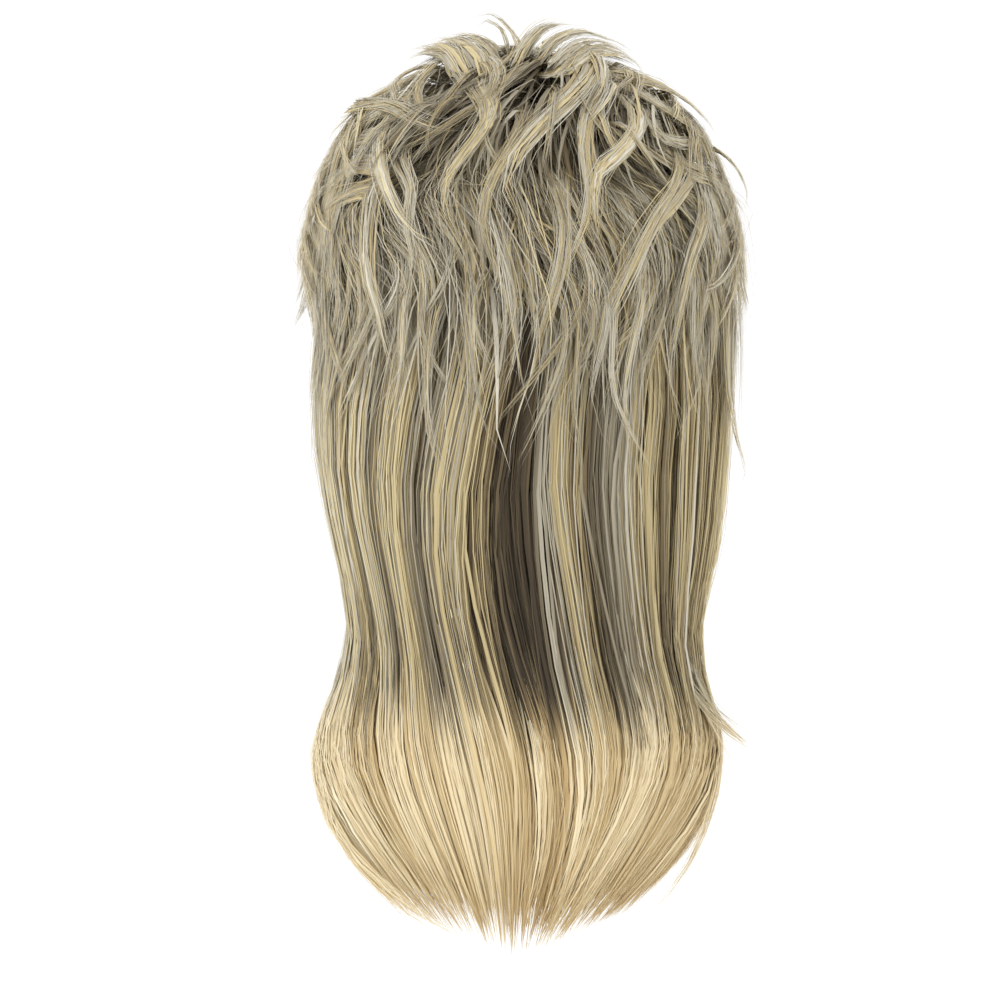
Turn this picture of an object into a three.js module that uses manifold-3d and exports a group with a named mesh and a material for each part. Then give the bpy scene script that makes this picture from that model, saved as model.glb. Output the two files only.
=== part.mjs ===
// A mullet wig: a net cap for the head, with rows of hair sewn to it from the nape up.
// Each row is a curtain of locks fused to its own sewn band, and lies over the row below it.
// Millimetres, +Z up. The origin is the inside of the cap at the crown, where the head stops it.
// The back of the wig faces -Y and its face opening faces +Y.
import * as THREE from "three";
import { mergeVertices } from "three/addons/utils/BufferGeometryUtils.js";
import Module from "manifold-3d";

// The head that the cap fits
const headHalfWidth = 77;
const headBack = 97; // from the crown's axis to the back of the head
const headFront = 92; // the same to the forehead
const crownHeight = 100; // from the crown down to the level where the head is widest

// The cap
const capWall = 1.8;
const capNape = 166; // from the crown down to the cap's edge at the nape
const capColumns = 30;
const capRings = 6;

// The hair
const maneLength = 411; // from the crown down to the longest tip
const hairDepth = 30; // all the rows together, off the scalp
const rowGap = 1.5; // between one row of hair and the next
const seat = 0.35; // clearance cut into a piece for the one beneath it
const bandHeight = 9; // the sewn band that carries a row
const bandDepth = 2.6;
const rowRamp = 34; // path over which a row swells from its band to its full depth
const bandLead = 14; // path above a band, or beside it, over which the next row rises to clear it
const tipWidth = 3;
const tipDepth = 1.6;
const domeStep = 18; // path between the sections of a piece, over the head
const maneStep = 30; // the same, where the hair hangs
const longestTurn = -6; // where the longest tip is, in degrees from the middle of the back

// The cap's edge: turn is the angle from the middle of the back, drop is a share of capNape
const capEdge = [
  { turn: 0, drop: 1 },
  { turn: 40, drop: 0.95 },
  { turn: 66, drop: 0.78 },
  { turn: 84, drop: 0.62 },
  { turn: 99, drop: 0.72 },
  { turn: 112, drop: 0.6 },
  { turn: 135, drop: 0.43 },
  { turn: 180, drop: 0.37 },
];

// The inner side of the hanging hair. place runs from the head's widest level to the longest tip,
// width is a share of headHalfWidth, back a share of headBack and depth a share of each row's depth.
// flare is how far the outermost long row turns out, as a share of hairDepth.
const hang = [
  { place: 0, width: 1, back: 1, depth: 1, flare: 0 },
  { place: 0.14, width: 1.03, back: 0.99, depth: 0.98, flare: 0 },
  { place: 0.27, width: 1.06, back: 0.93, depth: 0.95, flare: 0 },
  { place: 0.41, width: 1.01, back: 0.85, depth: 0.9, flare: 0 },
  { place: 0.54, width: 0.89, back: 0.79, depth: 0.82, flare: 0 },
  { place: 0.68, width: 0.97, back: 0.8, depth: 0.74, flare: 0.6 },
  { place: 0.8, width: 0.98, back: 0.8, depth: 0.66, flare: 0.45 },
  { place: 1, width: 0.86, back: 0.74, depth: 0.5, flare: 0.05 },
];

// Rows of long hair, from the head outwards. root is where the band is sewn at the middle of the back,
// and rise is how much higher it is sewn at the sides, both as shares of capNape. halfTurn is how far round
// it goes in degrees, depth is a share of hairDepth, and tip is its length as a share of maneLength.
const wefts = [
  { name: "nape_weft", root: 0.87, rise: 0.3, halfTurn: 76, depth: 0.21, locks: 5, tip: 0.94, sway: 3, flare: 0 },
  { name: "lower_weft", root: 0.72, rise: 0.27, halfTurn: 87, depth: 0.21, locks: 6, tip: 0.97, sway: -4, flare: 0 },
  { name: "upper_weft", root: 0.53, rise: 0.19, halfTurn: 98, depth: 0.4, locks: 8, tip: 1, sway: 5, flare: 1 },
];
// How much of a long row's length is left at each turn from its longest tip
const hemline = [
  { turn: 0, length: 1 },
  { turn: 22, length: 0.99 },
  { turn: 38, length: 0.975 },
  { turn: 62, length: 0.945 },
  { turn: 76, length: 0.915 },
  { turn: 104, length: 0.86 },
];
// Shorter rows, each over the ends of the long ones. turn is the middle of a row, halfTurn how far it goes to
// either side of it, and root where it is sewn there, as a share of capNape; slope is how much lower it is
// sewn at the end with the greater turn. tip and tipSlope place its hem in the same way. sweep is how many
// degrees its tips are combed round, fill how far it stands off the scalp at its fullest, as a share of
// hairDepth, thin its least depth and lift how far its tips stand off, both as shares of hairDepth.
const backRow = {
  ...{ turn: 0, halfTurn: 76, root: 0.2, slope: 0, tip: 0.87, tipSlope: 0 },
  ...{ locks: 9, sweep: 0, fill: 1.02, thin: 0.2, lift: 0, sway: 4 },
};
const sideRow = {
  ...{ turn: 112, halfTurn: 45, root: 0.19, slope: -0.04, tip: 0.7, tipSlope: -0.14 },
  ...{ locks: 5, sweep: -24, fill: 0.92, thin: 0.18, lift: 0.12, sway: -3 },
};
const fringeRow = {
  ...{ turn: 180, halfTurn: 40, root: 0.17, slope: 0, tip: 0.5, tipSlope: 0 },
  ...{ locks: 5, sweep: -8, fill: 0.62, thin: 0.15, lift: 0.08, sway: -3 },
};
// The crown: short locks that radiate from the top over the roots of the rows around it.
// turn is round the head from the middle of the back, and tip how far down the tips are there.
const crown = [
  { turn: 0, tip: 0.43 },
  { turn: 60, tip: 0.39 },
  { turn: 110, tip: 0.36 },
  { turn: 180, tip: 0.31 },
];
const crownLocks = 11;
const crownTop = 0.5; // how far the crown stands off the scalp in the middle, as a share of hairDepth
const crownRim = 1.05; // the same for its tips
const crownDepth = 0.42; // its depth, as a share of hairDepth
const crownGroove = 0.2; // the depth of the grooves between its locks, as a share of hairDepth

// Across one lock of a row, from the groove before it: how far it swells and how long it is
const profile = [
  { across: 0, swell: 0.1, length: 0.9 },
  { across: 0.27, swell: 0.85, length: 0.965 },
  { across: 0.54, swell: 1, length: 1 },
  { across: 0.8, swell: 0.8, length: 0.95 },
];

// Tufts that stand up from the crown. turn and tipTurn are degrees from the middle of the back, root and
// tip are drops as shares of capNape, width and thick are shares of hairDepth, lift is how far the middle
// stands off the scalp and rise how far the tip does, both as shares of hairDepth.
const tufts = [
  { turn: -70, tipTurn: -98, root: 0.03, tip: 0.085, width: 0.65, thick: 0.3, lift: 0.45, rise: 1.02 },
  { turn: -36, tipTurn: -84, root: 0.015, tip: 0.013, width: 0.5, thick: 0.28, lift: 0.5, rise: 0.92 },
  { turn: 20, tipTurn: 80, root: 0.02, tip: 0.015, width: 0.45, thick: 0.28, lift: 0.4, rise: 0.95 },
  { turn: 60, tipTurn: 88, root: 0.03, tip: 0.12, width: 0.7, thick: 0.3, lift: 0.7, rise: 0.95 },
  { turn: 14, tipTurn: 6, root: 0.04, tip: 0.2, width: 0.8, thick: 0.32, lift: 0.55, rise: 0.85 },
  { turn: 190, tipTurn: 150, root: 0.03, tip: 0.06, width: 0.6, thick: 0.3, lift: 0.45, rise: 0.8 },
  { turn: 170, tipTurn: 215, root: 0.03, tip: 0.09, width: 0.6, thick: 0.3, lift: 0.45, rise: 0.8 },
];
const colours = {
  net: 0x4a4038,
  underHair: 0x8f8266,
  longHair: 0xcdbd8e,
  shortHair: 0xc9bd98,
};

const wasm = await Module();
wasm.setup();

const radians = THREE.MathUtils.degToRad;
const ease = (x) => THREE.MathUtils.smoothstep(x, 0, 1);

// A column of a table at a place between its rows, on a smooth curve through them
function read(table, key, place, column) {
  const last = table.length - 1;
  if (place <= table[0][key]) return table[0][column];
  if (place >= table[last][key]) return table[last][column];
  const i = table.findIndex((row) => row[key] > place) - 1;
  const slope = (n) => {
    const a = table[Math.max(n - 1, 0)];
    const b = table[Math.min(n + 1, last)];
    return (b[column] - a[column]) / (b[key] - a[key]);
  };
  const step = table[i + 1][key] - table[i][key];
  const t = (place - table[i][key]) / step;
  return (
    table[i][column] * (1 + 2 * t) * (1 - t) ** 2 +
    slope(i) * step * t * (1 - t) ** 2 +
    table[i + 1][column] * t * t * (3 - 2 * t) +
    slope(i + 1) * step * t * t * (t - 1)
  );
}

// path is measured over the head from the crown, and straight down below its widest level
const quarterPath = (crownHeight * Math.PI) / 2;
const pathTo = (drop) =>
  drop < crownHeight
    ? crownHeight * Math.acos(1 - drop / crownHeight)
    : quarterPath + drop - crownHeight;
const dropAt = (path) =>
  path < quarterPath
    ? crownHeight * (1 - Math.cos(path / crownHeight))
    : crownHeight + path - quarterPath;
const placeAt = (path) => (dropAt(path) - crownHeight) / (maneLength - crownHeight);

// The level ring of the head or of the hanging hair at a path: its reaches and its outward direction
function ring(path) {
  if (path >= quarterPath) {
    const place = placeAt(path);
    const back = read(hang, "place", place, "back");
    const side = headHalfWidth * read(hang, "place", place, "width");
    return { side, back: headBack * back, front: headFront * back, height: -dropAt(path), out: 1, up: 0 };
  }
  const tilt = path / crownHeight;
  const out = crownHeight * Math.sin(tilt);
  const up = ((headHalfWidth + headBack) / 2) * Math.cos(tilt);
  return {
    side: headHalfWidth * Math.sin(tilt),
    back: headBack * Math.sin(tilt),
    front: headFront * Math.sin(tilt),
    height: -dropAt(path),
    out: out / Math.hypot(out, up),
    up: up / Math.hypot(out, up),
  };
}

// A point at a turn round the head, a path from the crown and a distance off the scalp
function spot(turn, path, off) {
  const r = ring(path);
  const depth = Math.cos(radians(turn)) > 0 ? r.back : r.front;
  return new THREE.Vector3(
    (r.side + off * r.out) * Math.sin(radians(turn)),
    -(depth + off * r.out) * Math.cos(radians(turn)),
    r.height + off * r.up,
  );
}

// Where a row is sewn at a turn: wefts rise round the head, shorter rows slope from end to end
const sewnAt = (row, turn) => {
  const share = row.rise
    ? row.root - row.rise * (1 - Math.cos(radians(turn)))
    : row.root + (row.slope * (turn - row.turn)) / row.halfTurn;
  return pathTo(capNape * share);
};
const hemAt = (row, turn) => pathTo(capNape * (row.tip + (row.tipSlope * (turn - row.turn)) / row.halfTurn));
const lengthLeft = (turn) => read(hemline, "turn", Math.abs(turn - longestTurn), "length");
const swellAt = (row, turn, path) => ease((path - sewnAt(row, turn) - bandHeight) / rowRamp);

// How deep a long row is at the ridge of a lock
function weftDepth(weft, turn, path) {
  const edge = 1 - 0.6 * ease((Math.abs(turn) - weft.halfTurn + 20) / 20);
  const full = weft.depth * hairDepth * read(hang, "place", placeAt(path), "depth") * edge - rowGap;
  return bandDepth + Math.max(full - bandDepth, 0) * swellAt(weft, turn, path);
}
// Where a row makes room for itself under the next one. It leads in above the band and beside it.
function presence(row, turn, path) {
  const above = ease((path - sewnAt(row, turn) + bandLead) / (bandLead - 2));
  const away = Math.abs(turn - (row.turn ?? 0));
  return above * ease((row.halfTurn + bandLead - away) / (bandLead - 2));
}
// Distance from the scalp to the inner side of the row that lies over the first rows
function baseOver(rows, turn, path) {
  const inner = wefts.slice(0, rows);
  const room = (weft) => (weftDepth(weft, turn, path) + rowGap) * presence(weft, turn, path);
  return inner.reduce((sum, weft) => sum + room(weft), capWall + seat);
}
const flareAt = (path) => hairDepth * read(hang, "place", placeAt(path), "flare");
const overWefts = (turn, path) => baseOver(wefts.length, turn, path) + flareAt(path);

// A shorter row fills the room between what lies under it and its own outer form
function rowDepth(row, base, turn, path) {
  const room = Math.max(hairDepth * row.fill - base(turn, path), hairDepth * row.thin);
  return bandDepth + (room - bandDepth) * swellAt(row, turn, path);
}
function overRow(row, base, turn, path) {
  const covered = 1 - ease((path - hemAt(row, turn) - 4) / 20);
  return base(turn, path) + (rowDepth(row, base, turn, path) + rowGap) * presence(row, turn, path) * covered;
}
const overBack = (turn, path) => overRow(backRow, overWefts, turn, path);
const overSides = (turn, path) => {
  const around = THREE.MathUtils.euclideanModulo(turn + 180, 360) - 180;
  return overRow(sideRow, overBack, Math.abs(around), path);
};
const overFringe = (turn, path) => {
  const around = THREE.MathUtils.euclideanModulo(turn, 360);
  const first = overSides(turn, path);
  return Math.max(first, overRow(fringeRow, overSides, around, path));
};

// A closed solid through rings of points, with a fan over each end
function loft(rings) {
  const around = rings[0].length;
  const points = rings.flat().flatMap((p) => [p.x, p.y, p.z]);
  const faces = [];
  for (let i = 0; i < rings.length - 1; i++)
    for (let j = 0; j < around; j++) {
      const a = i * around + j;
      const b = i * around + ((j + 1) % around);
      faces.push(a, b, b + around, a, b + around, a + around);
    }
  const end = (rings.length - 1) * around;
  for (let j = 1; j < around - 1; j++) {
    faces.push(0, j + 1, j);
    faces.push(end, end + j, end + j + 1);
  }
  const geometry = new THREE.BufferGeometry();
  geometry.setAttribute("position", new THREE.Float32BufferAttribute(points, 3));
  geometry.setIndex(faces);
  return geometry;
}

function solidOf(geometry) {
  const merged = mergeVertices(geometry, 1e-4);
  const made = new wasm.Manifold(
    new wasm.Mesh({
      numProp: 3,
      vertProperties: new Float32Array(merged.attributes.position.array),
      triVerts: new Uint32Array(merged.index.array),
    }),
  );
  return made;
}

// Section of a lock: across runs from edge to edge, height from its inner to its outer side
const section = [
  { across: -1, height: 0.5 },
  { across: -0.4, height: 0 },
  { across: 0.4, height: 0 },
  { across: 1, height: 0.5 },
  { across: 0.4, height: 1 },
  { across: -0.4, height: 1 },
];
// Fattest at a third of the way down, and drawn to a point
const fullness = (u) => (0.62 + 0.38 * ease(u / 0.3)) * (1 - ease((u - 0.4) / 0.6));

// A tuft, from its root to a tip that stands off. grow fattens it all over, to cut clearance for it.
function tuft(row, grow) {
  const start = pathTo(capNape * row.root);
  const length = pathTo(capNape * row.tip) - start;
  const steps = 5;
  const rings = [];
  for (let i = 0; i <= steps; i++) {
    const u = i / steps;
    const path = start + length * u;
    const inner = hairDepth * (0.12 + row.lift * Math.sin(Math.PI * u) * 0.6 + (row.rise - 0.12) * u);
    const depth = tipDepth + (row.thick * hairDepth - tipDepth) * fullness(u) + 2 * grow;
    const half = tipWidth / 2 + ((row.width * hairDepth) / 2) * fullness(u);
    const perMm = THREE.MathUtils.radToDeg(1 / (ring(path).side + inner));
    const turn = row.turn + (row.tipTurn - row.turn) * u;
    rings.push(
      section.map(({ across, height }) => {
        const wide = half + grow * (Math.abs(across) === 1 ? 3 : 1);
        return spot(turn + across * wide * perMm, path, inner - grow + height * depth);
      }),
    );
  }
  return solidOf(loft(rings));
}

// A row of locks fused side by side: one sheet, ridged along each lock and notched between their tips.
// hem(turn) is the path to a tip, and base and depth are its distances off the scalp.
function curtain(row, step, hem, base, depth, grow) {
  const spacing = (2 * row.halfTurn) / row.locks;
  const first = (row.turn ?? 0) - row.halfTurn;
  const columns = [];
  for (let i = 0; i < row.locks; i++)
    for (const share of profile) columns.push({ ...share, turn: first + spacing * (i + share.across), lock: i });
  columns.push({ ...profile[0], turn: first + 2 * row.halfTurn, lock: row.locks });
  const last = columns.length - 1;
  const longest = Math.max(...columns.map((c) => hem(c.turn) - sewnAt(row, c.turn)));
  const rows = Math.ceil(longest / step);
  const sides = [[], []];
  columns.forEach((column, i) => {
    const edge = i === 0 ? -1 : i === last ? 1 : 0;
    const turn = column.turn + THREE.MathUtils.radToDeg((edge * grow) / headHalfWidth);
    const start = sewnAt(row, turn);
    const uneven = 1 - 0.035 * (1 - Math.cos(column.lock * 2.4)) * (column.swell > 0.5 ? 1 : 0);
    const end = start + (hem(turn) - start) * column.length * uneven + grow;
    for (let k = 0; k <= rows + 1; k++) {
      const u = Math.max(k - 1, 0) / rows;
      const lead = k === 0 ? 0 : bandHeight;
      const path = start - (k === 0 ? grow : 0) + lead + (end - start - lead) * u;
      const bend = row.sway * Math.sin(Math.PI * 2 * u + column.lock * 0.8) * ease(u * 2);
      const at = turn + bend + (row.sweep ?? 0) * ease(u);
      const thin = 1 - 0.6 * ease((u - 0.65) / 0.35);
      const ridged = bandDepth + (depth(at, path) - bandDepth) * (1 - (1 - column.swell) * ease(u * 5));
      const under = base(at, path) + hairDepth * (row.lift ?? 0) * u ** 3;
      sides[0].push(spot(at, path, under - grow));
      sides[1].push(spot(at, path, under + Math.max(ridged * thin, tipDepth) + grow));
    }
  });
  return solidOf(sheet(sides, columns.length, rows + 2, row.hand ?? 1));
}

// A closed sheet between an inner and an outer grid of points, given column by column.
// hand is 1, or -1 for its mirror image.
function sheet([inner, outer], columns, rows, hand) {
  const points = [...inner, ...outer].flatMap((p) => [hand * p.x, p.y, p.z]);
  const faces = [];
  const far = inner.length;
  const at = (column, row) => column * rows + row;
  const quad = (a, b, c, d) => faces.push(...(hand > 0 ? [a, b, c, a, c, d] : [c, b, a, d, c, a]));
  for (let i = 0; i < columns - 1; i++)
    for (let k = 0; k < rows - 1; k++) {
      const [a, b, c, d] = [at(i, k), at(i + 1, k), at(i + 1, k + 1), at(i, k + 1)];
      quad(a, b, c, d);
      quad(far + d, far + c, far + b, far + a);
    }
  for (let i = 0; i < columns - 1; i++) {
    quad(far + at(i, 0), far + at(i + 1, 0), at(i + 1, 0), at(i, 0));
    quad(at(i, rows - 1), at(i + 1, rows - 1), far + at(i + 1, rows - 1), far + at(i, rows - 1));
  }
  for (let k = 0; k < rows - 1; k++) {
    quad(at(0, k), at(0, k + 1), far + at(0, k + 1), far + at(0, k));
    const end = columns - 1;
    quad(at(end, k + 1), at(end, k), far + at(end, k), far + at(end, k + 1));
  }
  const geometry = new THREE.BufferGeometry();
  geometry.setAttribute("position", new THREE.Float32BufferAttribute(points, 3));
  geometry.setIndex(faces);
  return geometry;
}

// Solids made into one body. What a cut leaves loose is dropped.
function whole(solids, cut) {
  let made = wasm.Manifold.union(solids);
  if (cut) made = made.subtract(cut);
  return made.decompose().reduce((best, body) => (body.volume() > best.volume() ? body : best));
}

function meshOf(solid, name, colour, roughness) {
  const { numProp, vertProperties, triVerts, numVert } = solid.getMesh();
  const points = new Float32Array(numVert * 3);
  for (let i = 0; i < numVert; i++)
    for (let k = 0; k < 3; k++) points[3 * i + k] = vertProperties[i * numProp + k];
  const geometry = new THREE.BufferGeometry();
  geometry.setAttribute("position", new THREE.BufferAttribute(points, 3));
  geometry.setIndex(new THREE.BufferAttribute(new Uint32Array(triVerts), 1));
  geometry.computeVertexNormals();
  const material = new THREE.MeshStandardMaterial({ color: colour, roughness, metalness: 0 });
  const mesh = new THREE.Mesh(geometry, material);
  mesh.name = name;
  return mesh;
}

// A dome over the crown between two distances off the scalp. reach(turn) is the path to its edge.
function dome(turns, rows, reach, inner, outer) {
  const points = [spot(0, 0, inner(0, 0, 0)), spot(0, 0, outer(0, 0, 0))];
  const faces = [];
  const columns = turns.length;
  const at = (column, row, side) => 2 + 2 * ((column % columns) * rows + row) + side;
  turns.forEach((turn, column) => {
    for (let row = 1; row <= rows; row++) {
      const path = (reach(turn, column) * row) / rows;
      points.push(spot(turn, path, inner(turn, path, row / rows, column)));
      points.push(spot(turn, path, outer(turn, path, row / rows, column)));
    }
    faces.push(0, at(column + 1, 0, 0), at(column, 0, 0));
    faces.push(1, at(column, 0, 1), at(column + 1, 0, 1));
    for (let row = 0; row < rows - 1; row++)
      for (const side of [0, 1]) {
        const [a, b] = [at(column, row, side), at(column + 1, row, side)];
        const [c, d] = [at(column, row + 1, side), at(column + 1, row + 1, side)];
        faces.push(...(side ? [a, c, d, a, d, b] : [a, d, c, a, b, d]));
      }
    const [a, b] = [at(column, rows - 1, 0), at(column + 1, rows - 1, 0)];
    faces.push(a, b, b + 1, a, b + 1, a + 1);
  });
  const geometry = new THREE.BufferGeometry();
  const coordinates = points.flatMap((p) => [p.x, p.y, p.z]);
  geometry.setAttribute("position", new THREE.Float32BufferAttribute(coordinates, 3));
  geometry.setIndex(faces);
  return solidOf(geometry);
}

// The net cap, cut to its edge
function capSolid(grow) {
  const edge = (turn) => {
    const away = Math.abs(THREE.MathUtils.euclideanModulo(turn + 180, 360) - 180);
    return pathTo(capNape * read(capEdge, "turn", away, "drop")) + grow;
  };
  const turns = Array.from({ length: capColumns }, (_, i) => (360 * i) / capColumns);
  return dome(turns, capRings, edge, () => -grow, () => capWall + grow);
}

// The crown's locks, fused in the middle and parted at their tips
function crownSolid(grow) {
  const shares = [];
  for (let i = 0; i < crownLocks; i++) for (const share of profile) shares.push({ ...share, lock: i });
  const turns = shares.map(({ across, lock }) => (360 * (lock + across)) / crownLocks);
  const reach = (turn, column) => {
    const away = Math.abs(THREE.MathUtils.euclideanModulo(turn + 180, 360) - 180);
    const notch = 1 - 1.4 * (1 - shares[column].length);
    return pathTo(capNape * read(crown, "turn", away, "tip")) * notch + grow;
  };
  const form = (u, column) => {
    const groove = u ? crownGroove * (1 - shares[column].swell) * ease((u - 0.25) / 0.45) : 0;
    return hairDepth * (crownTop + (crownRim - crownTop) * ease(u * 1.1) - groove);
  };
  const depth = (u) => tipDepth + (hairDepth * crownDepth - tipDepth) * (1 - ease((u - 0.3) / 0.7));
  const inner = (turn, path, u, column) =>
    u ? Math.max(overFringe(turn, path), form(u, column) - depth(u)) : capWall + seat;
  const outer = (turn, path, u, column) => Math.max(form(u, column), inner(turn, path, u, column) + tipDepth);
  return dome(
    turns,
    4,
    reach,
    (...place) => inner(...place) - grow,
    (...place) => outer(...place) + grow,
  );
}

const shortRow = (name, row, base) => ({
  name,
  colour: colours.shortHair,
  solids: (grow) => {
    const depth = (turn, path) => rowDepth(row, base, turn, path);
    return [curtain(row, domeStep, (turn) => hemAt(row, turn), base, depth, grow)];
  },
});

// Every row of hair as solids at its own size, or grown to cut clearance for it
const rowsOfHair = [
  ...wefts.map((weft, order) => ({
    name: weft.name,
    colour: order === wefts.length - 1 ? colours.longHair : colours.underHair,
    solids: (grow) => [
      curtain(
        weft,
        maneStep,
        (turn) => pathTo(maneLength * weft.tip * lengthLeft(turn)),
        (turn, path) => baseOver(order, turn, path) + weft.flare * flareAt(path),
        (turn, path) => weftDepth(weft, turn, path),
        grow,
      ),
    ],
  })),
  shortRow("back_layer", backRow, overWefts),
  shortRow("side_right", sideRow, overBack),
  shortRow("side_left", { ...sideRow, hand: -1 }, overBack),
  shortRow("fringe", fringeRow, overSides),
  {
    name: "crown",
    colour: colours.shortHair,
    solids: (grow) => [crownSolid(grow), ...tufts.map((row) => tuft(row, grow))],
  },
];

const wig = new THREE.Group();
wig.add(meshOf(capSolid(0), "cap", colours.net, 0.9));
let taken = capSolid(seat);
for (const row of rowsOfHair) {
  const solid = whole(row.solids(0), taken);
  wig.add(meshOf(solid, row.name, row.colour, 0.55));
  taken = taken.add(wasm.Manifold.union(row.solids(seat)));
}

export default wig;
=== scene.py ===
# A mullet wig in fine strands of hair: a net cap, long rows hung from it, and short waved rows over them.
# Metres, in the frame of the solids: +Z up, the back of the wig faces -Y.
import math

import bpy
import numpy as np
from bpy.props import FloatProperty, FloatVectorProperty, IntProperty, PointerProperty
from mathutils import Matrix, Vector


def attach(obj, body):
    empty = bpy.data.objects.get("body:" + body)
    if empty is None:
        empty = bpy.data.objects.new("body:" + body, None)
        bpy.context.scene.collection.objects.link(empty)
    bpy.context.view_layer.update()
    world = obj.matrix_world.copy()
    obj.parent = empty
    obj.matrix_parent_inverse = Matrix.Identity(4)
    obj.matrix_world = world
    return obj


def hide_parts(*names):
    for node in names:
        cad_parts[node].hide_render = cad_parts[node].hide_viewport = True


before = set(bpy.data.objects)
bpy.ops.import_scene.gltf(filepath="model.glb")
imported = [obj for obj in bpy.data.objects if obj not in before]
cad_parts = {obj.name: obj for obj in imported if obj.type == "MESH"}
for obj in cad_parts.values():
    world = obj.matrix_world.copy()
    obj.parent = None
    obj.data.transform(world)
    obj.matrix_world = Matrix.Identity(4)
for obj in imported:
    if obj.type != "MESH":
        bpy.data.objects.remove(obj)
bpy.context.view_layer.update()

bl_info = {
    "name": "Mullet Wig",
    "version": (1, 0, 0),
    "blender": (4, 5, 0),
    "location": "View3D > Sidebar > Wig",
    "description": "Makes a mullet wig of fine strands over the solids of its rows",
    "category": "Add Mesh",
}

MM = 0.001

# The head that the cap fits, and the cap
HEAD_HALF_WIDTH = 77 * MM
HEAD_BACK = 97 * MM
HEAD_FRONT = 92 * MM
CROWN_HEIGHT = 100 * MM
CAP_WALL = 1.8 * MM
CAP_NAPE = 166 * MM

# The hair
MANE_LENGTH = 411 * MM
HAIR_DEPTH = 30 * MM
ROW_GAP = 1.5 * MM
SEAT = 0.35 * MM
BAND_HEIGHT = 9 * MM
BAND_DEPTH = 2.6 * MM
ROW_RAMP = 34 * MM
BAND_LEAD = 14
TIP_TURN = -6
LATE_GOLD = 9 * MM
QUARTER = CROWN_HEIGHT * math.pi / 2


def ease(x):
    x = np.clip(x, 0, 1)
    return x * x * (3 - 2 * x)


def column(rows, key, name):
    """A smooth curve through one column of a table, as a function of the column named key."""
    x = np.array([row[key] for row in rows], float)
    y = np.array([row[name] for row in rows], float)
    lower = np.maximum(np.arange(len(x)) - 1, 0)
    upper = np.minimum(np.arange(len(x)) + 1, len(x) - 1)
    slope = (y[upper] - y[lower]) / (x[upper] - x[lower])

    def at(place):
        place = np.clip(place, x[0], x[-1])
        i = np.clip(np.searchsorted(x, place, side="right") - 1, 0, len(x) - 2)
        step = x[i + 1] - x[i]
        t = (place - x[i]) / step
        return (
            y[i] * (1 + 2 * t) * (1 - t) ** 2
            + slope[i] * step * t * (1 - t) ** 2
            + y[i + 1] * t * t * (3 - 2 * t)
            + slope[i + 1] * step * t * t * (t - 1)
        )

    return at


def table(names, *rows):
    return [dict(zip(names.split(), row)) for row in rows]


# The inner side of the hanging hair, from the head's widest level to the longest tip
HANG = table(
    "place width back depth flare",
    (0, 1, 1, 1, 0),
    (0.14, 1.03, 0.99, 0.98, 0),
    (0.27, 1.06, 0.93, 0.95, 0),
    (0.41, 1.01, 0.85, 0.9, 0),
    (0.54, 0.89, 0.79, 0.82, 0),
    (0.68, 0.97, 0.8, 0.74, 0.6),
    (0.8, 0.98, 0.8, 0.66, 0.45),
    (1, 0.86, 0.74, 0.5, 0.05),
)
hang_width = column(HANG, "place", "width")
hang_back = column(HANG, "place", "back")
hang_depth = column(HANG, "place", "depth")
hang_flare = column(HANG, "place", "flare")

# Rows of long hair: where each is sewn, how far round it goes in degrees, and its depth and length
WEFTS = table(
    "root rise halfTurn depth tip turn",
    (0.87, 0.3, 76, 0.21, 0.96, 0),
    (0.72, 0.27, 87, 0.21, 0.98, 0),
    (0.53, 0.19, 98, 0.4, 1, 0),
)
BACK_ROW = dict(turn=0, halfTurn=76, root=0.2, slope=0, tip=0.87, tipSlope=0, fill=1.02, thin=0.2)
SIDE_ROW = dict(turn=112, halfTurn=45, root=0.19, slope=-0.04, tip=0.7, tipSlope=-0.14, fill=0.92, thin=0.18)
FRINGE_ROW = dict(turn=180, halfTurn=40, root=0.17, slope=0, tip=0.5, tipSlope=0, fill=0.62, thin=0.15)

# The outline of the ends, seen from behind: how far down they reach at each turn from the longest tip
HEMLINE = table(
    "turn drop",
    (0, 0.411),
    (12, 0.404),
    (32, 0.39),
    (55, 0.368),
    (75, 0.345),
    (104, 0.325),
)
hem_drop = column(HEMLINE, "turn", "drop")
# How the hanging hair is drawn in at the shoulders: a share of its width, and a shift to the side
WAIST = table(
    "place width shift",
    (0, 1.05, 0),
    (0.12, 1.05, 0),
    (0.27, 1, 0),
    (0.41, 0.97, 4 * MM),
    (0.54, 0.93, -1 * MM),
    (0.66, 0.955, -4 * MM),
    (0.8, 0.97, -2 * MM),
    (1, 0.97, 0),
)
waist_width = column(WAIST, "place", "width")
waist_shift = column(WAIST, "place", "shift")
# How the hanging hair sways to the side on its way down, in millimetres, at four places across it
FLOW = table(
    "place left middle right far",
    (0, 0, 0, 0, 0),
    (0.12, 0, 0, 0, 0),
    (0.23, -4, -11, -6, -7),
    (0.32, -9, -19, -8, -9),
    (0.41, -7, -23, -4, -4),
    (0.49, -7, -18, 4, 7),
    (0.6, 2, -3, 13, 16),
    (0.69, 7, 10, 21, 20),
    (0.78, 7, 14, 25, 20),
    (1, 7, 14, 25, 20),
)
FLOW_AT = np.array([-100, -66, -10, 14, 49, 104]) * MM
flow_columns = [column(FLOW, "place", name) for name in ("left", "middle", "right", "far")]


def flow(x, place):
    still = np.zeros_like(place)
    sway = np.stack([still, *(at(place) for at in flow_columns), still], -1) * MM
    i = np.clip(np.searchsorted(FLOW_AT, x) - 1, 0, len(FLOW_AT) - 2)
    share = np.clip((x - FLOW_AT[i]) / (FLOW_AT[i + 1] - FLOW_AT[i]), 0, 1)
    low = np.take_along_axis(sway, i[..., None], -1)[..., 0]
    high = np.take_along_axis(sway, i[..., None] + 1, -1)[..., 0]
    return low + (high - low) * share


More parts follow.
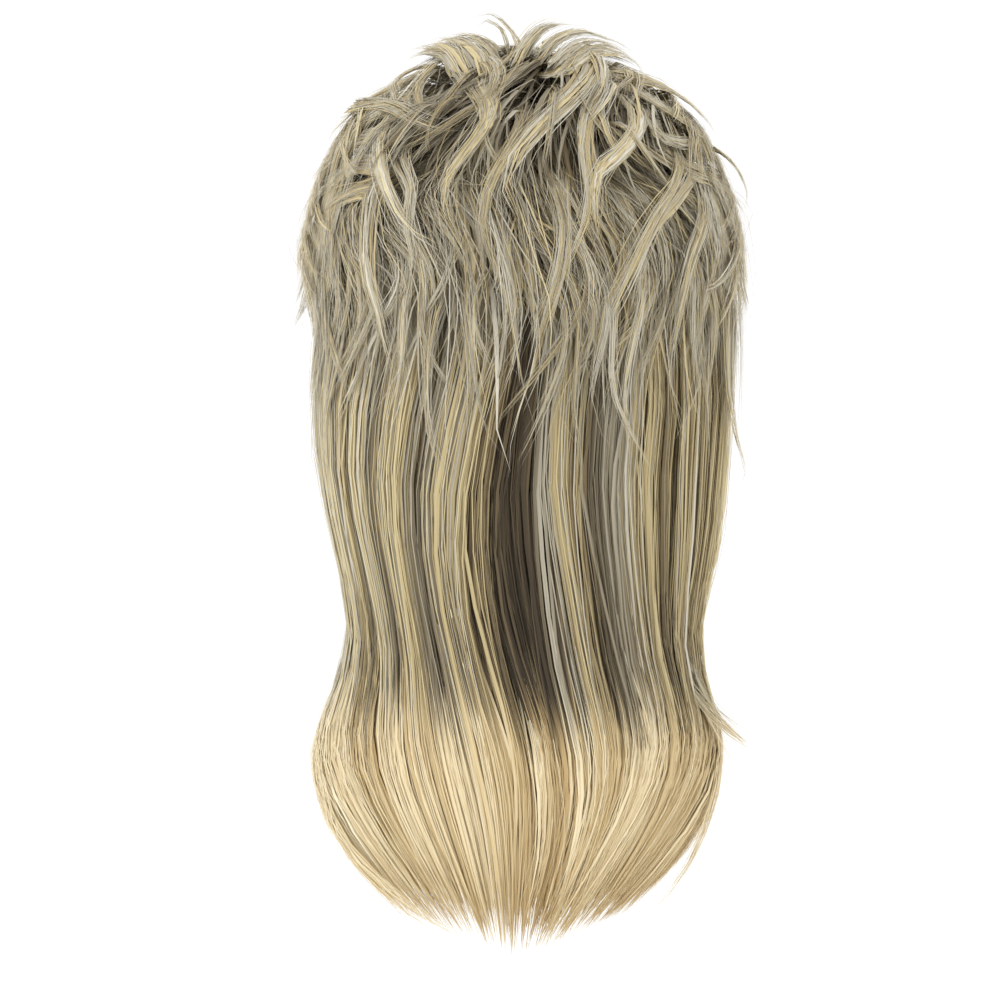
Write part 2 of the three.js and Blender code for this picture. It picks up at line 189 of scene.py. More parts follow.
def path_to(drop):
    drop = np.asarray(drop, float)
    over = np.arccos(np.clip(1 - drop / CROWN_HEIGHT, -1, 1)) * CROWN_HEIGHT
    return np.where(drop < CROWN_HEIGHT, over, QUARTER + drop - CROWN_HEIGHT)


def drop_at(path):
    over = CROWN_HEIGHT * (1 - np.cos(np.minimum(path, QUARTER) / CROWN_HEIGHT))
    return np.where(path < QUARTER, over, CROWN_HEIGHT + path - QUARTER)


def place_at(path):
    return (drop_at(path) - CROWN_HEIGHT) / (MANE_LENGTH - CROWN_HEIGHT)


def ring(path):
    """The level ring of the head or of the hanging hair at a path from the crown."""
    path = np.asarray(path, float)
    below = path >= QUARTER
    place = np.maximum(place_at(path), 0)
    tilt = np.minimum(path / CROWN_HEIGHT, math.pi / 2)
    out = CROWN_HEIGHT * np.sin(tilt)
    up = (HEAD_HALF_WIDTH + HEAD_BACK) / 2 * np.cos(tilt)
    length = np.hypot(out, up)
    wide = np.where(below, hang_width(place), np.sin(tilt))
    deep = np.where(below, hang_back(place), np.sin(tilt))
    return dict(
        side=HEAD_HALF_WIDTH * wide,
        back=HEAD_BACK * deep,
        front=HEAD_FRONT * deep,
        height=-drop_at(path),
        out=np.where(below, 1, out / length),
        up=np.where(below, 0, up / length),
    )


def spot(turn, path, off):
    """Points at turns round the head, paths from the crown and distances off the scalp."""
    r = ring(path)
    angle = np.radians(turn)
    depth = np.where(np.cos(angle) > 0, r["back"], r["front"])
    return np.stack(
        [
            (r["side"] + off * r["out"]) * np.sin(angle),
            -(depth + off * r["out"]) * np.cos(angle),
            r["height"] + off * r["up"],
        ],
        -1,
    )


def outward(turn, path):
    r = ring(path)
    angle = np.radians(turn)
    depth = np.where(np.cos(angle) > 0, r["back"], r["front"])
    n = np.stack(
        [
            r["out"] * np.sin(angle) * depth / (depth + r["side"] + 1e-9) * 2,
            -r["out"] * np.cos(angle) * r["side"] / (depth + r["side"] + 1e-9) * 2,
            r["up"] + 0 * angle,
        ],
        -1,
    )
    return n / np.linalg.norm(n, axis=-1, keepdims=True)


def sewn_at(row, turn):
    if "rise" in row:
        share = row["root"] - row["rise"] * (1 - np.cos(np.radians(turn)))
    else:
        share = row["root"] + row["slope"] * (turn - row["turn"]) / row["halfTurn"]
    return path_to(CAP_NAPE * share)


def hem_at(row, turn):
    return path_to(CAP_NAPE * (row["tip"] + row["tipSlope"] * (turn - row["turn"]) / row["halfTurn"]))


def swell_at(row, turn, path):
    return ease((path - sewn_at(row, turn) - BAND_HEIGHT) / ROW_RAMP)


def weft_depth(row, turn, path):
    edge = 1 - 0.6 * ease((np.abs(turn) - row["halfTurn"] + 20) / 20)
    full = row["depth"] * HAIR_DEPTH * hang_depth(np.maximum(place_at(path), 0)) * edge - ROW_GAP
    return BAND_DEPTH + np.maximum(full - BAND_DEPTH, 0) * swell_at(row, turn, path)


def presence(row, turn, path):
    above = ease((path - sewn_at(row, turn) + BAND_LEAD * MM) / ((BAND_LEAD - 2) * MM))
    away = np.abs(turn - row["turn"])
    return above * ease((row["halfTurn"] + BAND_LEAD - away) / (BAND_LEAD - 2))


def base_over(rows, turn, path):
    total = CAP_WALL + SEAT
    for weft in WEFTS[:rows]:
        total = total + (weft_depth(weft, turn, path) + ROW_GAP) * presence(weft, turn, path)
    return total


def flare_at(path):
    return HAIR_DEPTH * hang_flare(np.maximum(place_at(path), 0))


def over_wefts(turn, path):
    return base_over(3, turn, path) + flare_at(path)


def row_depth(row, base, turn, path):
    room = np.maximum(HAIR_DEPTH * row["fill"] - base(turn, path), HAIR_DEPTH * row["thin"])
    return BAND_DEPTH + (room - BAND_DEPTH) * swell_at(row, turn, path)


def over_row(row, base, turn, path):
    covered = 1 - ease((path - hem_at(row, turn) - 4 * MM) / (20 * MM))
    deep = (row_depth(row, base, turn, path) + ROW_GAP) * presence(row, turn, path)
    return base(turn, path) + deep * covered


def over_back(turn, path):
    return over_row(BACK_ROW, over_wefts, turn, path)


def over_sides(turn, path):
    around = np.mod(turn + 180, 360) - 180
    return over_row(SIDE_ROW, over_back, np.abs(around), path)


# Strands


def strand_mesh(name, families, v_from, v_to, by_height):
    """One mesh of many closed, tapered strands. A family holds centre lines (strand, step, 3), the outward
    direction at each of their points, and each strand's width, thickness and tone, and whether it is warm. The UV
    map's u is the tone, in its right half for warm strands, and its v runs down the hair: by height where
    by_height is true, and else along each strand."""
    points, quads, tris, quad_uv, tri_uv = [], [], [], [], []
    first = 0
    for family in families:
        centre, out = family["centre"], family["out"]
        n, k = centre.shape[:2]
        k -= 1  # the last step is the tip
        along = np.gradient(centre, axis=1)
        along /= np.linalg.norm(along, axis=-1, keepdims=True) + 1e-12
        side = np.cross(along, out)
        side /= np.linalg.norm(side, axis=-1, keepdims=True) + 1e-12
        lift = np.cross(side, along)
        t = np.linspace(0, 1, k + 1)
        fade = family["fade"]
        taper = (0.3 + 0.7 * ease(t / 0.15)) * (1 - 0.9 * ease((t - fade) / (1 - fade)))
        half = (family["width"][:, None] * taper)[:, :k, None] / 2
        deep = (family["thick"][:, None] * taper)[:, :k, None]
        body = centre[:, :k]
        corners = np.stack(
            [
                body - side[:, :k] * half - lift[:, :k] * deep * 0.35,
                body + lift[:, :k] * deep * 0.65,
                body + side[:, :k] * half - lift[:, :k] * deep * 0.35,
            ],
            2,
        )  # strand, step, corner, xyz
        stride = 3 * k + 1
        block = np.concatenate([corners.reshape(n, 3 * k, 3), centre[:, k:]], 1)
        points.append(block.reshape(-1, 3))
        origin = first + stride * np.arange(n)[:, None]
        first += n * stride

        if by_height:
            v = (-centre[..., 2] - family["late"][:, None] - v_from) / (v_to - v_from)
        else:
            v = np.broadcast_to(t, (n, k + 1))
        v = np.clip(v, 0.002, 0.985) + 0.0004 * np.arange(k + 1)
        du = np.clip(family["width"] * 1.5, 0.0006, 0.004)
        u = 0.5 * family["warm"] + 0.02 + 0.46 * np.clip(family["tone"], 0, 1)
        u_of = [u - du, u, u + du]

        steps = 3 * np.arange(k - 1)[None]
        for a, b in ((0, 1), (1, 2), (2, 0)):
            low = origin + steps
            quads.append(np.stack([low + a, low + b, low + 3 + b, low + 3 + a], -1).reshape(-1, 4))
            ua = np.broadcast_to(u_of[a][:, None], (n, k - 1))
            ub = np.broadcast_to(u_of[b][:, None], (n, k - 1))
            now, then = v[:, : k - 1], v[:, 1:k]
            uv = np.stack([ua, now, ub, now, ub, then, ua, then], -1)
            quad_uv.append(uv.reshape(-1, 2))
            last = origin[:, 0] + 3 * (k - 1)
            tip = origin[:, 0] + 3 * k
            tris.append(np.stack([last + a, last + b, tip], -1))
            uv = [u_of[a], v[:, k - 1], u_of[b], v[:, k - 1], u, v[:, k]]
            tri_uv.append(np.stack(uv, -1).reshape(-1, 2))
        start = origin[:, 0]
        tris.append(np.stack([start, start + 2, start + 1], -1))
        uv = [u_of[0], v[:, 0], u_of[2], v[:, 0], u, v[:, 0] + 0.004]
        tri_uv.append(np.stack(uv, -1).reshape(-1, 2))

    points = np.concatenate(points)
    quads, tris = np.concatenate(quads), np.concatenate(tris)
    uvs = np.concatenate(quad_uv + tri_uv)
    loops = np.concatenate([quads.ravel(), tris.ravel()])
    starts = np.concatenate([4 * np.arange(len(quads)), 4 * len(quads) + 3 * np.arange(len(tris))])
    mesh = bpy.data.meshes.new(name)
    mesh.vertices.add(len(points))
    mesh.vertices.foreach_set("co", points.astype(np.float32).ravel())
    mesh.loops.add(len(loops))
    mesh.loops.foreach_set("vertex_index", loops.astype(np.int32))
    mesh.polygons.add(len(starts))
    mesh.polygons.foreach_set("loop_start", starts.astype(np.int32))
    mesh.update(calc_edges=True)
    mesh.validate()
    mesh.uv_layers.new(name="OFBake").data.foreach_set("uv", uvs.astype(np.float32).ravel())
    mesh.polygons.foreach_set("use_smooth", np.ones(len(mesh.polygons), bool))
    mesh.set_sharp_from_angle(angle=math.radians(70))
    made = bpy.data.objects.new(name, mesh)
    bpy.context.scene.collection.objects.link(made)
    return made


def family(centre, out, width, tone, warm, fade=0.5, late=0.0):
    """Strands of one kind. warm is 0 or 1 for each, fade the share of their length where they begin to thin out,
    and late how much lower than others they turn golden."""
    late = np.broadcast_to(late, tone.shape)
    thick = np.minimum(width * 0.3, 0.12 * MM + width * 0.12)
    return dict(centre=centre, out=out, width=width, thick=thick, tone=tone, warm=warm, late=late, fade=fade)


def soften(lines, times, every):
    """Lines of points, evened out along their length, with every so many of their points kept."""
    lines = lines.copy()
    for _ in range(times):
        lines[:, 1:-1] = (lines[:, :-2] + 2 * lines[:, 1:-1] + lines[:, 2:]) / 4
    return lines[:, ::every]


def smooth_line(points, count):
    """A Catmull-Rom curve through the rows of points, at count even places."""
    points = np.asarray(points, float)
    ends = np.vstack([2 * points[0] - points[1], points, 2 * points[-1] - points[-2]])
    t = np.linspace(0, len(points) - 1, count)
    i = np.minimum(t.astype(int), len(points) - 2)
    f = (t - i)[:, None]
    a, b, c, d = ends[i], ends[i + 1], ends[i + 2], ends[i + 3]
    return 0.5 * (
        2 * b + (c - a) * f + (2 * a - 5 * b + 4 * c - d) * f**2 + (3 * b - a - 3 * c + d) * f**3
    )


def wander(turn, path, heading, curve, length, segments):
    """Turns and paths of lines that run over the scalp from a place each. heading is the angle off the way down
    that they start with, and curve(t) the angle that they turn by in a step."""
    tilt, around = path / CROWN_HEIGHT, np.radians(turn)
    n = np.stack([np.sin(tilt) * np.sin(around), -np.sin(tilt) * np.cos(around), np.cos(tilt)], -1)
    down = np.stack([np.cos(tilt) * np.sin(around), -np.cos(tilt) * np.cos(around), -np.sin(tilt)], -1)
    way = np.cos(heading)[:, None] * down + np.sin(heading)[:, None] * np.cross(n, down)
    step = (length / segments / CROWN_HEIGHT)[:, None]
    places = [n]
    for k in range(segments):
        n, way = n * np.cos(step) + way * np.sin(step), way * np.cos(step) - n * np.sin(step)
        bend = curve(k / segments)[:, None]
        way = way * np.cos(bend) + np.cross(n, way) * np.sin(bend)
        places.append(n)
    places = np.stack(places, 1)
    turns = np.degrees(np.arctan2(places[..., 0], -places[..., 1]))
    return turns, CROWN_HEIGHT * np.arccos(np.clip(places[..., 2], -1, 1))


def swirl(rng, count, size, segments):
    """A curve for wander: each line turns one way and then the other, by about size in all."""
    bend = size * rng.normal(0, 1, count) / segments
    speed, phase = rng.uniform(3, 7, count), rng.uniform(0, 6.28, count)
    return lambda t: bend * 1.6 * np.cos(speed * t + phase)


def flyaways(rng, count, turn_range, path_range, form):
    """Single fine hairs that stand a little off a row and go their own way. form(turn, path) is its surface."""
    turn = rng.uniform(*turn_range, count)
    path = rng.uniform(*path_range, count)
    length = rng.uniform(0.03, 0.07, count)
    turns, paths = stream(turn, path, length, 8, rng.normal(0, 0.4, count), rng.normal(0, 1.2, count))
    t = np.linspace(0, 1, 9)[None]
    lift = rng.uniform(0.7, 0.97, (count, 1)) + rng.uniform(-0.1, 0.14, (count, 1)) * t
    off = form(turns, paths) * lift
    warm = (rng.random(count) < 0.4) * 1.0
    tone = rng.uniform(0.4, 0.72, count)
    return family(spot(turns, paths, off), outward(turns, paths), rng.uniform(0.13, 0.22, count) * MM, tone, warm)


def laid(guide):
    """A guide over the scalp from rows of turn, path and distance, with its outward directions."""
    fine = smooth_line(guide, 40)
    return spot(fine[:, 0], fine[:, 1], fine[:, 2]), outward(fine[:, 0], fine[:, 1])


def lock(rng, guide, width, thick, count, tone, warm=0.5, segments=8, fan=2.4, stray=0.5):
    """One lock: strands that fan in from the scalp round it and gather to a point along a guide."""
    line, out = guide
    along = np.gradient(line, axis=0)
    length = np.concatenate([[0], np.cumsum(np.linalg.norm(np.diff(line, axis=0), axis=1))])
    share = length / length[-1]
    along /= np.linalg.norm(along, axis=1, keepdims=True)
    side = np.cross(along, out)
    side /= np.linalg.norm(side, axis=1, keepdims=True)
    rise = np.cross(side, along)

    across = rng.uniform(-1, 1, (count, 1))
    broad = np.arange(count) < 0.2 * count
    high = np.where(broad[:, None], rng.uniform(0.2, 0.8, (count, 1)), rng.beta(1.6, 1.2, (count, 1)))
    begin = rng.uniform(0, 0.2, (count, 1))
    end = np.where(rng.random((count, 1)) < 0.3, rng.uniform(0.5, 0.85, (count, 1)), rng.uniform(0.82, 1, (count, 1)))
    t = begin + (end - begin) * np.linspace(0, 1, segments + 1)
    hold = rng.beta(5, 1.6, (count, 1))
    spread = (fan + (1 - fan) * ease(t / 0.4)) * (1 - 0.5 * hold * ease((t - 0.05) / 0.5))
    point = 1 - 0.62 * ease((t - 0.4) / 0.6)
    phase = rng.uniform(0, 6, (count, 1))
    wave = rng.normal(0, 0.15, (count, 1)) * np.sin(t * rng.uniform(4, 9, (count, 1)) + phase)
    loose = (rng.random((count, 1)) < stray) * rng.normal(0, 0.8, (count, 1)) * t**1.5 * ~broad[:, None]
    a = across * spread * point + wave + loose
    h = high * (0.4 + 0.6 * ease(t / 0.3)) * point * np.sqrt(1 - 0.75 * across**2) + np.abs(loose) * 0.4

    def sample(values):
        return np.stack([np.interp(t, share, values[:, i]) for i in range(3)], -1)

    centre = sample(line) + sample(side) * (a * width / 2)[..., None] + sample(rise) * (h * thick)[..., None]
    body = np.where(broad, rng.uniform(0.09, 0.15, count) * width, rng.uniform(0.18, 0.42, count) * MM)
    # Strands lying low in the lock and at its edges are darker: painted shade.
    shade = tone + rng.normal(0, 0.09, count) - 0.08 * (1 - high[:, 0]) - 0.06 * across[:, 0] ** 2
    return family(centre, sample(rise), body, shade, (rng.random(count) < warm) * 1.0)


def joined(families):
    """Families with the same number of steps and the same fade, as one."""
    groups = {}
    for f in families:
        groups.setdefault((f["centre"].shape[1], f["fade"]), []).append(f)
    made = []
    for (_, fade), group in groups.items():
        keys = [key for key in group[0] if key != "fade"]
        made.append({key: np.concatenate([f[key] for f in group]) for key in keys} | {"fade": fade})
    return made


def lean_at(turn, path):
    """Which way the short hair leans at a place, as an angle off the way down: in waves over the back, and
    swept back over the ears."""
    around = np.mod(turn + 180, 360) - 180
    aside = np.abs(around)
    wave = np.sin((path - 0.05) / 0.0178 + 0.6 * np.sin(np.radians(around) * 2.3))
    swept = ease((aside - 45) / 40) * ease((165 - aside) / 30) * ease((0.135 - path) / 0.03)
    ripple = 0.2 * np.sin(np.radians(around) * 5.3 + path / 0.012)
    calm = 1 - 0.7 * ease((path - 0.145) / 0.03)
    return -0.52 * wave * (1 - 0.4 * swept) * calm - 0.5 * swept * np.sign(around) + ripple * calm


def painted_shade_at(turn, path):
    """How much darker the hair at a place is, as painted shade: most in the middle of the back, below the crown, and
    then between one lock and the next."""
    around = np.abs(np.mod(turn + 180 - 4, 360) - 180)
    middle = 0.3 * ease((62 - around) / 40) * ease((path - 0.03) / 0.03) * ease((0.145 - path) / 0.05)
    return middle - 0.1 * np.sin(np.radians(turn) * 33 + 1.6 * np.sin(path / 0.014))


def stream(turn, path, length, segments, offset, wobble=0.0):
    """Turns and paths of lines that follow lean_at from a place each. offset is how much more each one leans,
    and wobble how much that changes along it."""
    tilt, around = path / CROWN_HEIGHT, np.radians(turn)
    n = np.stack([np.sin(tilt) * np.sin(around), -np.sin(tilt) * np.cos(around), np.cos(tilt)], -1)
    step = (length / segments / CROWN_HEIGHT)[:, None]
    turns, paths = [], []
    for k in range(segments + 1):
        turns.append(np.degrees(np.arctan2(n[:, 0], -n[:, 1])))
        paths.append(CROWN_HEIGHT * np.arccos(np.clip(n[:, 2], -1, 1)))
        flat = np.hypot(n[:, 0], n[:, 1]) + 1e-6
        down = np.stack([n[:, 2] * n[:, 0] / flat, n[:, 2] * n[:, 1] / flat, -flat], -1)
        lean = (lean_at(turns[-1], paths[-1]) + offset + wobble * (k / segments - 0.4))[:, None]
        way = np.cos(lean) * down + np.sin(lean) * np.cross(n, down)
        n = n * np.cos(step) + way * np.sin(step)
        n /= np.linalg.norm(n, axis=1, keepdims=True)
    return np.stack(turns, 1), np.stack(paths, 1)


def comb(rng, count, segments, turns, start, end, off, tone, width):
    """Loose strands combed over a row. start and end are paths, off(turn, path, share) a distance."""
    t = np.linspace(0, 1, segments + 1)[None]
    turn, path = stream(turns, start, (end - start) * 1.08, segments, rng.normal(0, 0.16, count), rng.normal(0, 0.4, count))
    warm = (rng.random(count) < 0.15 + 0.2 * (tone > 0.5)) * 1.0
    # Darker in the middle of the back and between locks: painted shade.
    tone = tone - painted_shade_at(turn[:, 3], path[:, 3])
    return family(spot(turn, path, off(turn, path, t)), outward(turn, path), width, tone, warm)


def place_on(x, z, off):
    """The turn, path and distance off the scalp of a place seen from behind. The distance grows where the
    place lies outside the surface that is that far off."""
    paths = np.linspace(0, path_to(MANE_LENGTH), 900)
    for far in np.linspace(off, off + 1.2 * HAIR_DEPTH, 60):
        r = ring(paths)
        path = np.interp(-z, -(r["height"] + far * r["up"]), paths)
        r = ring(path)
        reach = r["side"] + far * r["out"]
        if z < far and abs(x) < 0.985 * reach:
            break
    ratio = max(-0.985, min(0.985, x / max(reach, 1e-4)))
    return math.degrees(math.asin(ratio)), float(path), float(far)


# Materials


class Wire:
    """A socket whose sums and products add Math nodes to its material."""

    def __init__(self, paint, socket):
        self.paint, self.socket = paint, socket

    def _math(self, operation, a, b):
        return self.paint.add("ShaderNodeMath", {"operation": operation}, {0: a, 1: b})

    def __add__(self, other):
        return self._math("ADD", self, other)

    def __radd__(self, other):
        return self._math("ADD", other, self)

    def __sub__(self, other):
        return self._math("SUBTRACT", self, other)

    def __rsub__(self, other):
        return self._math("SUBTRACT", other, self)

    def __mul__(self, other):
        return self._math("MULTIPLY", self, other)

    def __rmul__(self, other):
        return self._math("MULTIPLY", other, self)


class Paint:
    """A new node material with one shader."""

    def __init__(self, name, **constants):
        self.material = bpy.data.materials.new(name)
        self.material.use_nodes = True
        self.tree = self.material.node_tree
        self.shader = self.tree.nodes["Principled BSDF"]
        for socket, value in constants.items():
            self.shader.inputs[socket.replace("_", " ")].default_value = value

    def add(self, kind, settings=None, sockets=None, output=0):
        node = self.tree.nodes.new(kind)
        for key, value in (settings or {}).items():
            if key == "stops":
                ramp = node.color_ramp
                while len(ramp.elements) < len(value):
                    ramp.elements.new(0.5)
                for element, (position, colour) in zip(ramp.elements, value):
                    element.position = position
                    element.color = (*colour, 1)
            else:
                setattr(node, key, value)
        for key, value in (sockets or {}).items():
            self.feed(node.inputs[key], value)
        return Wire(self, node.outputs[output])

    def feed(self, socket, value):
        if isinstance(value, Wire):
            self.tree.links.new(value.socket, socket)
        else:
            socket.default_value = value

    def step(self, value, low, high):
        sockets = {"Value": value, "From Min": low, "From Max": high}
        return self.add("ShaderNodeMapRange", {"interpolation_type": "SMOOTHSTEP"}, sockets)

    def mix(self, factor, a, b, blend="MIX"):
        settings = {"data_type": "RGBA", "blend_type": blend, "clamp_factor": True}
        return self.add("ShaderNodeMix", settings, {0: factor, 6: a, 7: b}, output=2)

    def noise(self, place, detail=1.0):
        settings = {"noise_dimensions": "1D"}
        return self.add("ShaderNodeTexNoise", settings, {"W": place, "Scale": 1.0, "Detail": detail})

    def wear(self, **sockets):
        for socket, value in sockets.items():
            self.feed(self.shader.inputs[socket.replace("_", " ")], value)
        return self.material


def linear(red, green, blue):
    """A screen colour, 0 to 255, as the numbers that a node takes."""
    values = (red / 255, green / 255, blue / 255)
    return tuple(v / 12.92 if v <= 0.04045 else ((v + 0.055) / 1.055) ** 2.4 for v in values)


def hair_material(name, colours, gold_from=None, root_dark=0.0, shade=0.0, tip_light=0.06):
    """Strands whose tone comes from u and whose fading runs down v. gold_from is the v of the golden ends."""
    paint = Paint(name, Specular_IOR_Level=0.3)
    uv = paint.add("ShaderNodeUVMap", {"uv_map": "OFBake"})
    split = paint.add("ShaderNodeSeparateXYZ", None, {0: uv})
    u = split
    v = Wire(paint, split.socket.node.outputs[1])
    warm = paint.step(u, 0.495, 0.505)
    fibre = paint.noise(u * 1900.0)
    streak = paint.noise(u * 360.0, 0.0)
    # shade takes an even painted shade off the whole tone.
    tone = (u - warm * 0.5 - 0.02) * 2.174 + (fibre - 0.5) * 0.24 + (streak - 0.5) * 0.16 - shade
    if gold_from is None:
        # Darker towards the roots, partly the hair's own dark roots and partly painted shade by the scalp, and lighter
        # towards the tips.
        tone = tone - (1 - paint.step(v, 0.02, 0.4)) * root_dark + paint.step(v, 0.1, 0.9) * tip_light
    else:
        dusk = paint.step(v, gold_from - 0.26, gold_from - 0.05)
        tone = tone - dusk * paint.step(paint.noise(u * 210.0 + 9.0, 0.0), 0.3, 0.65) * 0.2
    tones = {
        kind: paint.add("ShaderNodeValToRGB", {"stops": list(zip((0.0, 0.3, 0.58, 0.95), colours[kind]))}, {0: tone})
        for kind in ("ash", "khaki")
    }
    colour = paint.mix(warm, tones["ash"], tones["khaki"])
    if gold_from is not None:
        stops = list(zip((0.0, 0.35, 0.6, 0.95), colours["gold"]))
        gold = paint.add("ShaderNodeValToRGB", {"stops": stops}, {0: tone * 0.55 + 0.42 - warm * 0.28 - paint.step(v, 0.84, 0.98) * 0.14})
        ragged = v + (paint.noise(u * 540.0 + 40.0, 0.0) - 0.5) * 0.12
        colour = paint.mix(paint.step(ragged, gold_from - 0.04, gold_from + 0.04), colour, gold)
    rough = 0.42 + fibre * 0.16
    return paint.wear(Base_Color=colour, Roughness=rough)


def palette():
    shades = bpy.context.scene.wig_shades
    return {
        "ash": [tuple(shades.root), tuple(shades.ash_low), tuple(shades.ash_mid), tuple(shades.ash_high)],
        "khaki": [tuple(shades.root), tuple(shades.khaki_low), tuple(shades.khaki_mid), tuple(shades.khaki_high)],
        "gold": [tuple(shades.gold_deep), tuple(shades.gold_low), tuple(shades.gold_mid), tuple(shades.gold_high)],
    }


def finish_piece(made, slot, material, *nodes):
    made.data.materials.clear()
    made.data.materials.append(material)
    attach(made, "root")
    if nodes:
        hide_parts(*nodes)
    return made


# What a user would change


def shade_of(name, note, colour):
    return FloatVectorProperty(name=name, description=note, default=linear(*colour), subtype="COLOR", min=0, max=1)


class WigShades(bpy.types.PropertyGroup):
    root: shade_of("Lowlight", "Darkest brown of the lowlights and roots", (58, 48, 33))
    ash_low: shade_of("Ash brown", "Cool brown strands", (122, 111, 88))
    ash_mid: shade_of("Ash blonde", "Cool blonde strands", (184, 177, 157))
    ash_high: shade_of("Pale blonde", "Palest cool strands", (220, 214, 197))
    khaki_low: shade_of("Warm brown", "Warm brown strands", (122, 105, 74))
    khaki_mid: shade_of("Warm blonde", "Warm blonde strands", (190, 173, 129))
    khaki_high: shade_of("Pale warm blonde", "Palest warm strands", (222, 208, 166))
    gold_deep: shade_of("Deep gold", "Darkest of the golden ends", (184, 156, 108))
    gold_low: shade_of("Gold", "Golden ends", (208, 184, 136))
    gold_mid: shade_of("Light gold", "Light golden ends", (233, 216, 177))
    gold_high: shade_of("Pale gold", "Palest of the ends", (243, 231, 199))


class WigSizes(bpy.types.PropertyGroup):
    fullness: FloatProperty(name="Fullness", description="Strands in each row, as a share of the usual number",
                            default=1.0, min=0.2, max=1.0, subtype="FACTOR")
    wave: FloatProperty(name="Wave", description="Sideways wave of the long locks", default=math.radians(1.5),
                        min=0, max=math.radians(10), subtype="ANGLE")
    gold_height: FloatProperty(name="Golden ends from", description="Drop from the crown to the golden ends",
                               default=0.302, min=0.2, max=0.4, unit="LENGTH")
    gather: FloatProperty(name="Gather", description="How far the ends draw in towards the longest tip",
                          default=0.7, min=0, max=0.8, subtype="FACTOR")
    seed: IntProperty(name="Seed", description="Start of the random draws", default=7, min=0)


def rng_for(step):
    return np.random.default_rng(bpy.context.scene.wig_sizes.seed * 100 + step)


# Long hair

# Locks of the outer long row: where they hang at the top, how light they are, how much they stand out and how
# much of their hair is warm. Their tones are the hair's own, except that the locks lying lowest, in the gaps, are given
# the darkest ones, which is painted shade.
MANE_LOCKS = table(
    "x tone lift warm",
    (-104, 0.6, 0.2, 0.3), (-97, 0.72, 0.5, 0.2), (-90, 0.74, 0.7, 0.4), (-82, 0.78, 0.9, 0.6),
    (-74, 0.56, 0.3, 0.8), (-66, 0.8, 0.9, 0.8), (-59, 0.46, 0.2, 0.2), (-52, 0.7, 0.8, 0.7),
    (-45, 0.64, 0.7, 0.8), (-37, 0.36, 0.15, 0.1), (-29, 0.58, 0.8, 0.3), (-21, 0.62, 1.0, 0.6),
    (-13, 0.56, 0.8, 0.9), (-6, 0.42, 0.5, 0.9), (1, 0.12, 0.0, 1.0), (7, 0.1, 0.0, 1.0),
    (13, 0.46, 0.5, 0.1), (20, 0.62, 1.0, 0.8), (27, 0.52, 0.5, 0.9), (33, 0.3, 0.2, 0.2),
    (40, 0.42, 0.5, 0.1), (48, 0.56, 0.9, 0.4), (57, 0.64, 0.7, 0.95), (65, 0.44, 0.2, 0.95),
    (73, 0.66, 0.8, 0.9), (81, 0.5, 0.3, 0.95), (89, 0.66, 0.8, 0.95), (97, 0.62, 0.6, 0.95), (104, 0.5, 0.2, 0.8),
)


